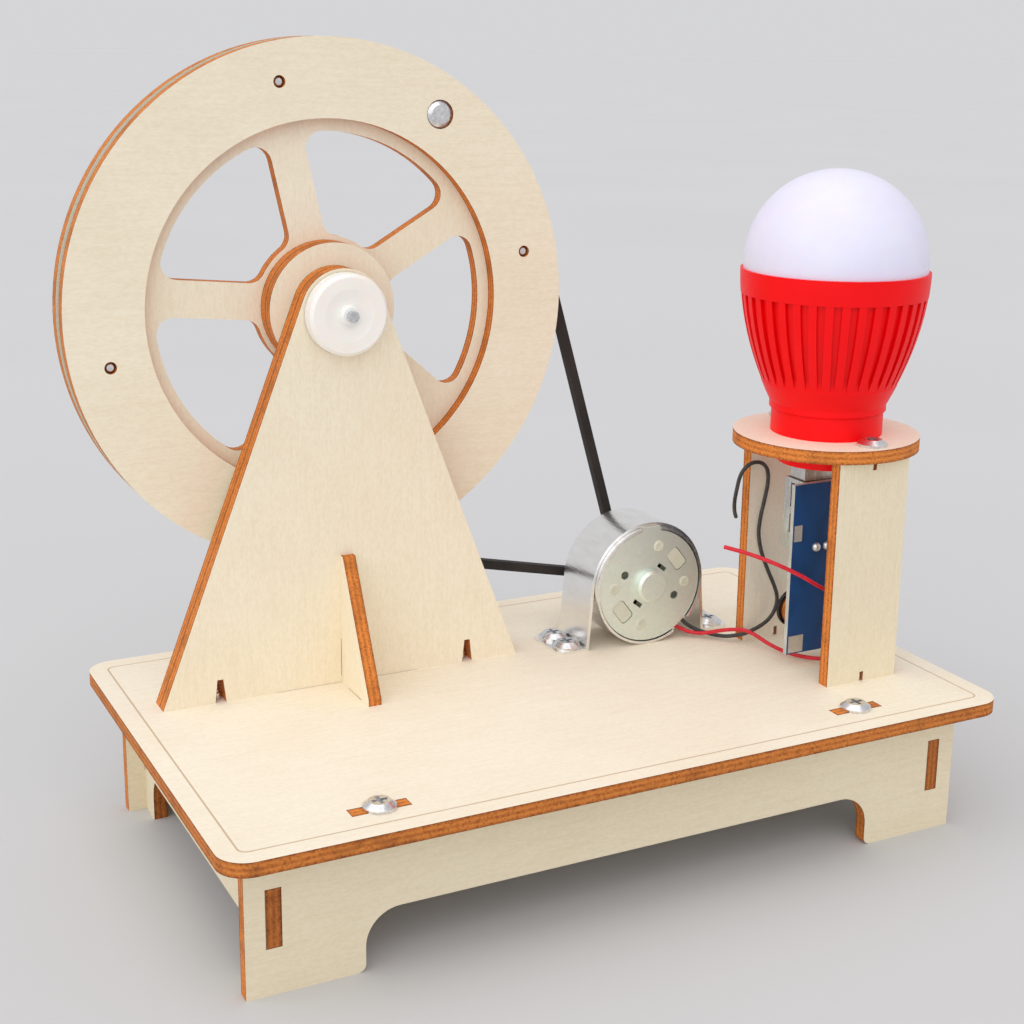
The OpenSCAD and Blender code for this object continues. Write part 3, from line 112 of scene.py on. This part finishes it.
class Shader:
    """A material with one Principled shader and short ways to add nodes to it."""

    def __init__(self, name, **constants):
        self.material = bpy.data.materials.new(name)
        self.material.use_nodes = True
        self.tree = self.material.node_tree
        self.tree.nodes.clear()
        output = self.tree.nodes.new("ShaderNodeOutputMaterial")
        self.main = self.tree.nodes.new("ShaderNodeBsdfPrincipled")
        self.tree.links.new(self.main.outputs["BSDF"], output.inputs["Surface"])
        for socket, value in constants.items():
            self.main.inputs[socket.replace("_", " ")].default_value = value

    def feed(self, socket, value):
        """Links an output to a socket, or sets the socket to a constant."""
        if isinstance(value, bpy.types.NodeSocket):
            self.tree.links.new(value, socket)
        else:
            socket.default_value = value

    def set(self, name, value):
        """Feeds a socket of the Principled shader."""
        self.feed(self.main.inputs[name], value)

    def coords(self, output="Object"):
        """Coordinates on the piece."""
        return self.tree.nodes.new("ShaderNodeTexCoord").outputs[output]

    def millimetres(self, scale=UNSTRETCHED, offset=(0.0, 0.0, 0.0)):
        """Object coordinates in millimetres, stretched by a scale."""
        node = self.tree.nodes.new("ShaderNodeMapping")
        self.feed(node.inputs["Vector"], self.coords())
        node.inputs["Scale"].default_value = [s / MM for s in scale]
        node.inputs["Location"].default_value = offset
        return node.outputs["Vector"]

    def noise(self, vector, scale, detail=3.0, roughness=0.55):
        """Noise with about one patch in 1 / scale millimetres."""
        node = self.tree.nodes.new("ShaderNodeTexNoise")
        self.feed(node.inputs["Vector"], vector)
        node.inputs["Scale"].default_value = scale
        node.inputs["Detail"].default_value = detail
        node.inputs["Roughness"].default_value = roughness
        return node.outputs["Fac"]

    def cells(self, vector, scale):
        """The distance to the middle of a cell."""
        node = self.tree.nodes.new("ShaderNodeTexVoronoi")
        self.feed(node.inputs["Vector"], vector)
        node.inputs["Scale"].default_value = scale
        return node.outputs["Distance"]

    def ramp(self, value, stops):
        """A colour that follows a value through (place, colour) stops."""
        node = self.tree.nodes.new("ShaderNodeValToRGB")
        self.feed(node.inputs["Fac"], value)
        elements = node.color_ramp.elements
        while len(elements) < len(stops):
            elements.new(1.0)
        for element, (place, colour) in zip(elements, stops):
            element.position = place
            element.color = colour
        return node.outputs["Color"]

    def two_tone(self, value, dark, light, span=NOISE_RANGE):
        """A colour that goes from dark to light over a span of values."""
        return self.ramp(value, list(zip(span, (dark, light))))

    def band(self, value, span, result=(0.0, 1.0)):
        """A value remapped from one span to another, clamped."""
        node = self.tree.nodes.new("ShaderNodeMapRange")
        self.feed(node.inputs["Value"], value)
        for name, number in zip(("From Min", "From Max", "To Min", "To Max"), (*span, *result)):
            node.inputs[name].default_value = number
        return node.outputs["Result"]

    def math(self, operation, a, b=0.0):
        """One sum on values or constants."""
        node = self.tree.nodes.new("ShaderNodeMath")
        node.operation = operation
        self.feed(node.inputs[0], a)
        self.feed(node.inputs[1], b)
        return node.outputs["Value"]

    def mix(self, factor, a, b, blend="MIX"):
        """Colour a, with colour b laid over it by a factor."""
        node = self.tree.nodes.new("ShaderNodeMix")
        node.data_type = "RGBA"
        node.blend_type = blend
        self.feed(node.inputs["Factor"], factor)
        colour_a, colour_b = (socket for socket in node.inputs if socket.type == "RGBA")
        self.feed(colour_a, a)
        self.feed(colour_b, b)
        return next(socket for socket in node.outputs if socket.type == "RGBA")

    def tinted(self, colour, tint):
        """A colour multiplied by a tint."""
        return self.mix(1.0, colour, tint, "MULTIPLY")

    def part(self, vector, axis):
        """One coordinate of a vector."""
        node = self.tree.nodes.new("ShaderNodeSeparateXYZ")
        self.feed(node.inputs["Vector"], vector)
        return node.outputs[AXES.index(axis)]

    def edges(self, face_axis):
        """1 on a board's edges and 0 on its faces, which lie across the axis."""
        facing = self.math("ABSOLUTE", self.part(self.coords("Normal"), face_axis))
        return self.band(facing, FACE_AND_EDGE)

    def grooves(self, reach):
        """1 down in the piece's own grooves and 0 on its open surface, looking a reach around; it places
        painted shade.
        """
        node = self.tree.nodes.new("ShaderNodeAmbientOcclusion")
        node.only_local = True
        node.inputs["Distance"].default_value = reach * MM
        return self.band(node.outputs["AO"], OPEN_AND_GROOVE)

    def roughness(self, value, result):
        """A roughness that follows a noise."""
        self.set("Roughness", self.band(value, NOISE_RANGE, result))

    def bump(self, height, depth):
        """Fine relief, by its depth in millimetres."""
        node = self.tree.nodes.new("ShaderNodeBump")
        node.inputs["Distance"].default_value = depth * MM
        self.feed(node.inputs["Height"], height)
        self.set("Normal", node.outputs["Normal"])


def dress(material, *nodes):
    """Gives CAD nodes their material."""
    for node in nodes:
        mesh = NODES[node].data
        mesh.materials.clear()
        mesh.materials.append(material)


# Wires: the routes are the ones in the part's source, in millimetres from the middle of the base
WIRE_D = 0.8
WIRE_BEVEL_STEPS = 4
ROUTE_STEPS = 6
RED_ROUTE = [
    (37.1, 9.95, 29.9), (38.4, 9.3, 29.2), (39.7, 8.2, 28.7), (41.1, 6.7, 28.7), (42.5, 5.1, 29.2),
    (44, 3.2, 30), (45.6, 1.2, 30.6), (47, -0.7, 30.8), (48.3, -2.5, 30.2), (49.5, -4.9, 29.2),
    (50.7, -8.6, 28.6), (52.3, -12.4, 28.5), (55, -15.6, 28.7), (58.2, -18, 29.9), (60.6, -19.5, 32.7),
    (61.1, -20.2, 36.6), (59.2, -20.2, 40.3), (55.6, -19.9, 42.7), (51.1, -19.6, 44.9), (46, -18.8, 48),
    (41.4, -16.9, 50.4), (37.6, -13.6, 51.9), (34.6, -10, 52.6),
]
BLACK_ROUTE = [
    (38.7, 9.95, 31), (39.8, 9.5, 29.9), (41, 8.8, 29.1), (42.3, 7.6, 28.6), (43.6, 6, 28.3),
    (44.7, 4.5, 28.3), (45.7, 3.2, 28.5), (47, 2.3, 28.8), (48.4, 1.5, 29.2), (50, 0.9, 29.9),
    (51.8, 0.5, 30.8), (53.5, 0.3, 32), (54.8, 0.25, 33.8), (55.2, 0.2, 36.2), (54.4, 0.2, 38.8),
    (52.6, 0.2, 42.4), (50.8, 0.2, 46.4), (49.9, 0.25, 50.2), (50.1, 0.3, 53.6), (50.8, 0.3, 57),
    (51.4, 0.3, 60), (51.5, 0.3, 62.2), (51.05, 0.3, 63.85), (49.9, 0.3, 65), (48.3, 0.3, 65.4),
    (46.9, 0.5, 65), (45.9, 0.9, 63.85), (45.5, 1.5, 62.2), (45.5, 2.3, 59.6), (45.9, 3.4, 57),
    (46.8, 4.6, 54.6), (48, 5.7, 52.8),
]
WIRE_SPECKLE = {"scale": 0.8, "detail": 4.0}
WIRE_SPECKLE_RANGE = (0.3, 0.75)
WIRE_SHEEN_SCALE = 2.5
WIRE_ROUGHNESS = (0.34, 0.5)
WIRE_BUMP_SCALE = 3.0
WIRE_BUMP = 0.02


def smooth_route(points):
    """A Catmull-Rom curve through the points, as closely spaced places."""
    ends = [points[0] * 2 - points[1]] + points + [points[-1] * 2 - points[-2]]
    places = []
    for before, a, b, after in zip(ends, ends[1:], ends[2:], ends[3:]):
        for i in range(ROUTE_STEPS):
            t = i / ROUTE_STEPS
            places.append(0.5 * (2 * a + (b - before) * t + (2 * before - 5 * a + 4 * b - after) * t * t
                                 + (3 * a - before - 3 * b + after) * t ** 3))
    return places + [points[-1]]


def insulation(name, dark, light):
    """Soft, slightly uneven insulation."""
    shader = Shader(name)
    speckle = shader.noise(shader.millimetres(), **WIRE_SPECKLE)
    shader.set("Base Color", shader.two_tone(speckle, dark, light, WIRE_SPECKLE_RANGE))
    shader.roughness(shader.noise(shader.millimetres(), WIRE_SHEEN_SCALE), WIRE_ROUGHNESS)
    shader.bump(shader.noise(shader.millimetres(), WIRE_BUMP_SCALE), WIRE_BUMP)
    return shader.material


def make_wire(name, node, route, material):
    """A wire along its route, which stands for its CAD node."""
    places = smooth_route([kit(*p) for p in route])
    curve = bpy.data.curves.new(name, "CURVE")
    curve.dimensions = "3D"
    curve.bevel_depth = WIRE_D / 2 * MM
    curve.bevel_resolution = WIRE_BEVEL_STEPS
    curve.use_fill_caps = True
    spline = curve.splines.new("POLY")
    spline.points.add(len(places) - 1)
    for point, place in zip(spline.points, places):
        point.co = (*place, 1.0)
    spline.use_smooth = True
    curve.materials.append(material)
    wire = put_in_scene(name, curve)
    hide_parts(node)
    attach(wire, "base")
    return wire


RED_INSULATION = insulation("red_insulation", srgb(200, 12, 34), srgb(226, 26, 50))
BLACK_INSULATION = insulation("black_insulation", srgb(50, 48, 47), srgb(72, 69, 67))
make_wire("red_lead", "red_wire", RED_ROUTE, RED_INSULATION)
make_wire("black_lead", "black_wire", BLACK_ROUTE, BLACK_INSULATION)


# Plywood: pale birch faces with a fine grain, and laser-cut edges that show the browned plies
PLY_GLOSS = 0.3
PLY_ROUGHNESS = (0.78, 0.62)
PLY_BUMP = 0.03
SEED_OFFSET = Vector((37.0, 91.0, 53.0))
NO_TINT = srgb(255, 255, 255)
PALE_TINT = srgb(255, 254, 249)
# The warm tint below is painted shade: it makes the faces of the rails, end panels and column front, which
# lie in shade, darker and warmer
WARM_SHADE_TINT = srgb(246, 243, 232)
BROWN_TINT = srgb(236, 236, 236)
# The edge tint below is painted shade: it darkens the edges of the end panels, which stand under the plate
EDGE_SHADE_TINT = srgb(209, 205, 205)

# The face's textures, with a stretch for those that run along the grain
GRAIN = {"scale": 1.6, "detail": 4.0}
GRAIN_STRETCH = 0.07
FACE_STOPS = [(0.25, srgb(245, 234, 215)), (0.48, srgb(248, 238, 220)), (0.75, srgb(249, 241, 224))]
FIBRES = {"scale": 2.6, "detail": 2.0, "roughness": 0.6}
FIBRE_STRETCH = 0.4
FIBRE_TINT = srgb(250, 249, 245)
FIBRE_RANGE = (0.38, 0.6)
FLECKS = {"scale": 5.0, "detail": 2.0}
FLECK_STRETCH = 0.2
FLECK_COLOUR = srgb(214, 188, 150)
FLECK_RANGE = (0.68, 0.78)
FLECK_STRENGTH = (0.0, 0.12)
FLECK_HEIGHT = 0.5
CLOUDS = {"scale": 0.03, "detail": 2.0}
CLOUD_TINT = srgb(252, 250, 247)

# The edge's plies and the marks that the laser leaves on them
EDGE_CHAR = srgb(112, 60, 27)
EDGE_DARK = srgb(181, 95, 37)
EDGE_LIGHT = srgb(231, 139, 59)
EDGE_STREAK = srgb(239, 151, 69)
PLY_STOPS = [(0.0, EDGE_CHAR), (0.1, EDGE_DARK), (0.3, EDGE_LIGHT), (0.5, EDGE_DARK), (0.7, EDGE_LIGHT),
             (0.9, EDGE_DARK), (1.0, EDGE_CHAR)]
STREAKS = {"scale": 2.4, "detail": 3.0, "roughness": 0.6}
LIGHT_STREAK_RANGE = (0.4, 0.75)
LIGHT_STREAK_STRENGTH = (0.0, 0.7)
DARK_STREAK_RANGE = (0.46, 0.28)
DARK_STREAK_STRENGTH = (0.0, 0.6)
SCORCH = {"scale": 0.22, "detail": 2.0, "roughness": 0.5}
SCORCH_RANGE = (0.5, 0.3)
SCORCH_STRENGTH = (0.0, 0.35)


def board_face(shader, texture, grain, flecks, tint):
    """The pale face, darker along the grain, with fine fibres and a few flecks."""
    face = shader.ramp(grain, FACE_STOPS)
    face = shader.tinted(face, shader.two_tone(texture(CLOUDS), CLOUD_TINT, NO_TINT, CLOUD_RANGE))
    fibres = texture(FIBRES, FIBRE_STRETCH)
    face = shader.tinted(face, shader.two_tone(fibres, FIBRE_TINT, NO_TINT, FIBRE_RANGE))
    face = shader.tinted(face, tint)
    return shader.mix(shader.band(flecks, FLECK_RANGE, FLECK_STRENGTH), face, FLECK_COLOUR)


def board_edge(shader, texture, node, face_axis, tint):
    """The browned plies, streaked and scorched by the laser."""
    low, high = (corner[AXES.index(face_axis)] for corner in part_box(node))
    depth = shader.band(shader.part(shader.coords(), face_axis), (low, high))
    streaks = texture(STREAKS)
    edge = shader.ramp(depth, PLY_STOPS)
    edge = shader.mix(shader.band(streaks, LIGHT_STREAK_RANGE, LIGHT_STREAK_STRENGTH), edge, EDGE_STREAK)
    edge = shader.mix(shader.band(streaks, DARK_STREAK_RANGE, DARK_STREAK_STRENGTH), edge, EDGE_CHAR)
    edge = shader.mix(shader.band(texture(SCORCH), SCORCH_RANGE, SCORCH_STRENGTH), edge, EDGE_CHAR)
    return shader.tinted(edge, tint)


def plywood(node, face_axis, grain_axis, seed, tint=NO_TINT, edge_tint=NO_TINT, score=None):
    """Dresses a board, given the axes across its faces and along its grain."""
    shader = Shader("plywood_" + node, Specular_IOR_Level=PLY_GLOSS)

    def texture(settings, stretch=1.0):
        """A noise of this board's own, stretched along its grain."""
        scale = [stretch if axis == grain_axis else 1.0 for axis in AXES]
        return shader.noise(shader.millimetres(scale, seed * SEED_OFFSET), **settings)

    grain = texture(GRAIN, GRAIN_STRETCH)
    flecks = texture(FLECKS, FLECK_STRETCH)
    face = board_face(shader, texture, grain, flecks, tint)
    edge = board_edge(shader, texture, node, face_axis, edge_tint)
    colour = shader.mix(shader.edges(face_axis), face, edge)
    if score:
        colour = score(shader, colour)
    shader.set("Base Color", colour)
    shader.roughness(grain, PLY_ROUGHNESS)
    shader.bump(shader.math("ADD", grain, shader.math("MULTIPLY", flecks, FLECK_HEIGHT)), PLY_BUMP)
    dress(shader.material, node)


# The fine burnt line round the plate's top face
PLATE_CORNER = 5.0
SCORE_INSET = 3.5
SCORE_HALF = 0.1
SCORE_FADE = 0.22
SCORE_STRENGTH = (0.6, 0.0)
SCORE_COLOUR = srgb(170, 124, 68)
FACING_UP = (0.6, 0.9)


def plate_score(shader, colour):
    """Draws the line where the distance from the plate's rounded outline is the inset."""
    half = (PLATE_HIGH - PLATE_LOW) / 2
    sides = []
    for axis, centre, reach in (("X", KIT.x, half.x), ("Y", KIT.y, half.y)):
        from_middle = shader.math("SUBTRACT", shader.part(shader.coords(), axis), centre)
        sides.append(shader.math("SUBTRACT", shader.math("ABSOLUTE", from_middle), reach - PLATE_CORNER * MM))
    outside = [shader.math("MAXIMUM", s, 0.0) for s in sides]
    corner = shader.math("SQRT", shader.math("ADD", *(shader.math("MULTIPLY", o, o) for o in outside)))
    inside = shader.math("MINIMUM", shader.math("MAXIMUM", *sides), 0.0)
    distance = shader.math("SUBTRACT", shader.math("ADD", corner, inside), (PLATE_CORNER - SCORE_INSET) * MM)
    line = shader.band(shader.math("ABSOLUTE", distance), (SCORE_HALF * MM, SCORE_FADE * MM), SCORE_STRENGTH)
    top = shader.band(shader.part(shader.coords("Normal"), "Z"), FACING_UP)
    return shader.mix(shader.math("MULTIPLY", line, top), colour, SCORE_COLOUR)


# Boards: node, axis across the faces, axis along the grain, seed of the grain, face tint, edge tint
BOARDS = [
    ("front_rail", "Y", "X", 2, WARM_SHADE_TINT),
    ("back_rail", "Y", "X", 3, WARM_SHADE_TINT),
    ("left_end_panel", "X", "Y", 4, WARM_SHADE_TINT, EDGE_SHADE_TINT),
    ("right_end_panel", "X", "Y", 5, WARM_SHADE_TINT, EDGE_SHADE_TINT),
    ("stand_brace", "X", "Z", 6, PALE_TINT),
    ("stand_front_board", "Y", "Z", 7, PALE_TINT),
    ("stand_back_board", "Y", "Z", 8, PALE_TINT),
    ("column_front_panel", "Y", "Z", 9, WARM_SHADE_TINT),
    # The column's back panel keeps no tint, so its inner face, which lies in shade, comes out lighter than
    # the front panel: painted light
    ("column_back_panel", "Y", "Z", 10),
    ("front_hub_disc", "Y", "Z", 12, PALE_TINT),
    ("middle_hub_disc", "Y", "X", 13, PALE_TINT),
    ("rear_hub_disc", "Y", "Z", 14, PALE_TINT),
    ("front_ring", "Y", "X", 15, PALE_TINT),
    ("spoked_layer", "Y", "Z", 16, PALE_TINT),
    ("back_ring", "Y", "X", 17, PALE_TINT),
    ("column_disc", "Z", "X", 20),
]
plywood("base_plate", "Z", "X", 1, edge_tint=BROWN_TINT, score=plate_score)
for board in BOARDS:
    plywood(*board)


# Metals
METAL_STREAKS = {"detail": 5.0, "roughness": 0.6}
METAL_SHEEN = 0.03
SPOT_SCALE = 0.35
SPOT_RANGE = (0.5, 0.75)
SPOT_STRENGTH = (0.0, 0.2)


def metal(name, dark, light, roughness, depth, scale=1.5, stretch=UNSTRETCHED):
    """Metal with fine streaks and a few duller spots."""
    shader = Shader(name, Metallic=1.0)
    streaks = shader.noise(shader.millimetres(stretch), scale, **METAL_STREAKS)
    spots = shader.noise(shader.millimetres(), SPOT_SCALE)
    colour = shader.two_tone(streaks, dark, light)
    shader.set("Base Color", shader.mix(shader.band(spots, SPOT_RANGE, SPOT_STRENGTH), colour, dark))
    shader.roughness(streaks, (roughness + METAL_SHEEN, roughness - METAL_SHEEN))
    shader.bump(streaks, depth)
    return shader.material


SCREW_STEEL = metal("screw_steel", srgb(204, 204, 205), srgb(242, 242, 243), 0.28, depth=0.004)
AXLE_STEEL = metal("axle_steel", srgb(190, 190, 193), srgb(236, 236, 238), 0.18, depth=0.003, scale=3.0)
CAN_STEEL = metal("can_steel", srgb(232, 231, 229), srgb(244, 243, 242), 0.26, depth=0.001, scale=1.2,
                  stretch=(1.0, 0.2, 1.0))
STRAP_STEEL = metal("strap_steel", srgb(238, 237, 234), srgb(248, 247, 245), 0.25, depth=0.001, scale=0.8,
                    stretch=(0.6, 0.2, 0.6))
CAP_STEEL = metal("cap_steel", srgb(232, 240, 231), srgb(240, 248, 240), 0.5, depth=0.001)
SHELL_STEEL = metal("shell_steel", srgb(190, 188, 184), srgb(226, 224, 220), 0.28, depth=0.003,
                    stretch=(1.0, 1.0, 0.2))
DARK_IRON = metal("dark_iron", srgb(48, 48, 50), srgb(84, 84, 88), 0.5, depth=0.015)
COPPER = metal("copper", srgb(186, 100, 44), srgb(226, 142, 80), 0.3, depth=0.006)
BRASS = metal("brass", srgb(176, 140, 66), srgb(220, 190, 110), 0.32, depth=0.006)
TIN = metal("tin", srgb(236, 235, 233), srgb(250, 249, 248), 0.42, depth=0.004)

dress(SCREW_STEEL, "base_screws", "stand_screws", "wheel_screws", "crank_screw", "crank_nut", "strap_screws",
      "column_screws", "disc_screws")
dress(AXLE_STEEL, "axle", "motor_shaft")
dress(CAN_STEEL, "motor_can")
dress(STRAP_STEEL, "motor_strap")
dress(CAP_STEEL, "motor_end_cap")
dress(SHELL_STEEL, "plug_shell", "socket_shell")
dress(DARK_IRON, "motor_magnet", "rotor_core", "coil_core")
dress(COPPER, "motor_brushes", "rotor_windings", "commutator", "coil_winding")
dress(BRASS, "motor_bush")
dress(TIN, "capacitors", "solder_joints", "motor_terminals")


# Plastics and rubber
PLASTIC_CLOUDS = {"scale": 0.12, "detail": 3.0}
PLASTIC_GRAIN_DETAIL = 4.0
PLASTIC_SHEEN = (-0.05, 0.07)
# How far round a groove the painted groove shade looks
GROOVE_SHADE_REACH = 1.4


def plastic(name, dark, light, roughness, depth, scale, groove_shade=None, **constants):
    """Moulded plastic with faint clouds, a fine grain and, where it is given, a darker colour painted into
    its grooves as shade.
    """
    shader = Shader(name, **constants)
    clouds = shader.noise(shader.millimetres(), **PLASTIC_CLOUDS)
    grain = shader.noise(shader.millimetres(), scale, PLASTIC_GRAIN_DETAIL)
    colour = shader.two_tone(clouds, dark, light, CLOUD_RANGE)
    if groove_shade:
        colour = shader.mix(shader.grooves(GROOVE_SHADE_REACH), colour, groove_shade)
    shader.set("Base Color", colour)
    shader.roughness(grain, [roughness + change for change in PLASTIC_SHEEN])
    shader.bump(grain, depth)
    return shader.material


NYLON = plastic("nylon", srgb(253, 247, 239), srgb(255, 251, 245), 0.45, depth=0.004, scale=1.0,
                Subsurface_Weight=0.3, Subsurface_Scale=2.0 * MM)
CARD_PLASTIC = plastic("brush_card", srgb(208, 206, 186), srgb(220, 218, 200), 0.5, depth=0.006, scale=1.4)
# The bulb body's grooves are painted a darker red as shade
RED_PLASTIC = plastic("red_plastic", srgb(250, 0, 8), srgb(255, 2, 12), 0.4, depth=0.004, scale=1.6,
                      groove_shade=srgb(230, 0, 7), Specular_IOR_Level=0.22)
DOME_PLASTIC = plastic("dome_plastic", srgb(238, 228, 250), srgb(242, 232, 252), 0.34, depth=0.0015,
                       scale=0.5, Subsurface_Weight=0.3, Subsurface_Scale=4.0 * MM)
RUBBER = plastic("belt_rubber", srgb(26, 22, 20), srgb(44, 38, 35), 0.7, depth=0.03, scale=3.0)
BLACK_PLASTIC = plastic("black_package", srgb(20, 20, 21), srgb(34, 34, 36), 0.55, depth=0.02, scale=4.0)
LED_YELLOW = plastic("phosphor", srgb(214, 190, 60), srgb(236, 214, 96), 0.5, depth=0.02, scale=3.0)
BOARD_WHITE = plastic("light_board", srgb(228, 228, 224), srgb(242, 242, 240), 0.45, depth=0.01, scale=2.0)

dress(NYLON, "front_collar", "rear_collar", "crank_grip", "motor_pulley", "socket_tongue", "plug_insert")
dress(CARD_PLASTIC, "brush_card")
dress(RED_PLASTIC, "bulb_body")
dress(DOME_PLASTIC, "bulb_dome")
dress(BOARD_WHITE, "led_board")
dress(LED_YELLOW, "led_chips")
dress(RUBBER, "drive_belt")
dress(BLACK_PLASTIC, "boost_chip", "diode")


# Circuit board
TRACK_SCALE = 0.22
TRACK_STRETCH = (1.0, 1.0, 0.55)
TRACK_BUMP = 0.01
LACQUER_STOPS = [(0.3, srgb(12, 64, 118)), (0.36, srgb(15, 70, 128)), (0.7, srgb(14, 68, 124)),
                 (0.76, srgb(11, 62, 114))]
LACQUER_SHEEN_SCALE = 2.0
LACQUER_ROUGHNESS = (0.28, 0.42)
GLASS_SCALE = 3.0
GLASS_STRETCH = (1.0, 1.0, 0.2)
GLASS_DARK = srgb(176, 176, 168)
GLASS_LIGHT = srgb(206, 206, 200)


def solder_mask():
    """Blue lacquer over copper tracks, with the bare pale glass fibre of the board's edge."""
    shader = Shader("solder_mask")
    tracks = shader.cells(shader.millimetres(TRACK_STRETCH), TRACK_SCALE)
    lacquer = shader.ramp(tracks, LACQUER_STOPS)
    glass = shader.noise(shader.millimetres(GLASS_STRETCH), GLASS_SCALE)
    glass = shader.two_tone(glass, GLASS_DARK, GLASS_LIGHT)
    shader.set("Base Color", shader.mix(shader.edges("Y"), lacquer, glass))
    shader.roughness(shader.noise(shader.millimetres(), LACQUER_SHEEN_SCALE), LACQUER_ROUGHNESS)
    shader.bump(tracks, TRACK_BUMP)
    return shader.material


dress(solder_mask(), "circuit_board")

# Floor: a square, in metres, of plain pale paper
FLOOR_HALF = 30.0
FLOOR_GLOSS = 0.1
FLOOR_ROUGHNESS = 0.8
PAPER = {"scale": 0.004, "detail": 2.0}
PAPER_DARK = srgb(205, 205, 206)
PAPER_LIGHT = srgb(207, 207, 208)


def make_floor():
    """A plain pale floor that reaches to the horizon."""
    corners = [(-FLOOR_HALF, -FLOOR_HALF, 0.0), (FLOOR_HALF, -FLOOR_HALF, 0.0),
               (FLOOR_HALF, FLOOR_HALF, 0.0), (-FLOOR_HALF, FLOOR_HALF, 0.0)]
    mesh = bpy.data.meshes.new("floor")
    mesh.from_pydata(corners, [], [(0, 1, 2, 3)])
    shader = Shader("floor", Roughness=FLOOR_ROUGHNESS, Specular_IOR_Level=FLOOR_GLOSS)
    paper = shader.noise(shader.millimetres(), **PAPER)
    shader.set("Base Color", shader.two_tone(paper, PAPER_DARK, PAPER_LIGHT))
    mesh.materials.append(shader.material)
    put_in_scene("floor", mesh)


make_floor()

# Light: a soft key lamp, with its angles in degrees, and even light from all round
KEY_TURN = 30.0
KEY_HEIGHT = 52.0
KEY_STRENGTH = 1.54
KEY_SOFTNESS = 100.0
SKY = srgb(250, 250, 252)
SKY_STRENGTH = 0.72
BACKDROP = srgb(213, 213, 215)


def make_key_lamp():
    """A distant soft lamp, placed by its turn from the camera's side and its height."""
    data = bpy.data.lights.new("key", "SUN")
    data.energy = KEY_STRENGTH
    data.angle = math.radians(KEY_SOFTNESS)
    lamp = put_in_scene("key", data)
    lamp.rotation_euler = (math.radians(90.0 - KEY_HEIGHT), 0.0, math.radians(CAMERA_YAW - KEY_TURN))


def make_world():
    """Even white light from all round, with the backdrop's grey in what the camera and reflections show."""
    world = bpy.data.worlds.new("studio")
    bpy.context.scene.world = world
    world.use_nodes = True
    tree = world.node_tree
    tree.nodes.clear()
    light = tree.nodes.new("ShaderNodeBackground")
    light.inputs["Color"].default_value = SKY
    light.inputs["Strength"].default_value = SKY_STRENGTH
    backdrop = tree.nodes.new("ShaderNodeBackground")
    backdrop.inputs["Color"].default_value = BACKDROP
    path = tree.nodes.new("ShaderNodeLightPath")
    seen = path.outputs["Is Camera Ray"]
    for ray in ("Is Glossy Ray", "Is Transmission Ray"):
        either = tree.nodes.new("ShaderNodeMath")
        either.operation = "MAXIMUM"
        tree.links.new(seen, either.inputs[0])
        tree.links.new(path.outputs[ray], either.inputs[1])
        seen = either.outputs["Value"]
    choice = tree.nodes.new("ShaderNodeMixShader")
    output = tree.nodes.new("ShaderNodeOutputWorld")
    tree.links.new(seen, choice.inputs["Fac"])
    tree.links.new(light.outputs["Background"], choice.inputs[1])
    tree.links.new(backdrop.outputs["Background"], choice.inputs[2])
    tree.links.new(choice.outputs["Shader"], output.inputs["Surface"])


make_key_lamp()
make_world()

bpy.context.scene.view_settings.view_transform = "Standard"
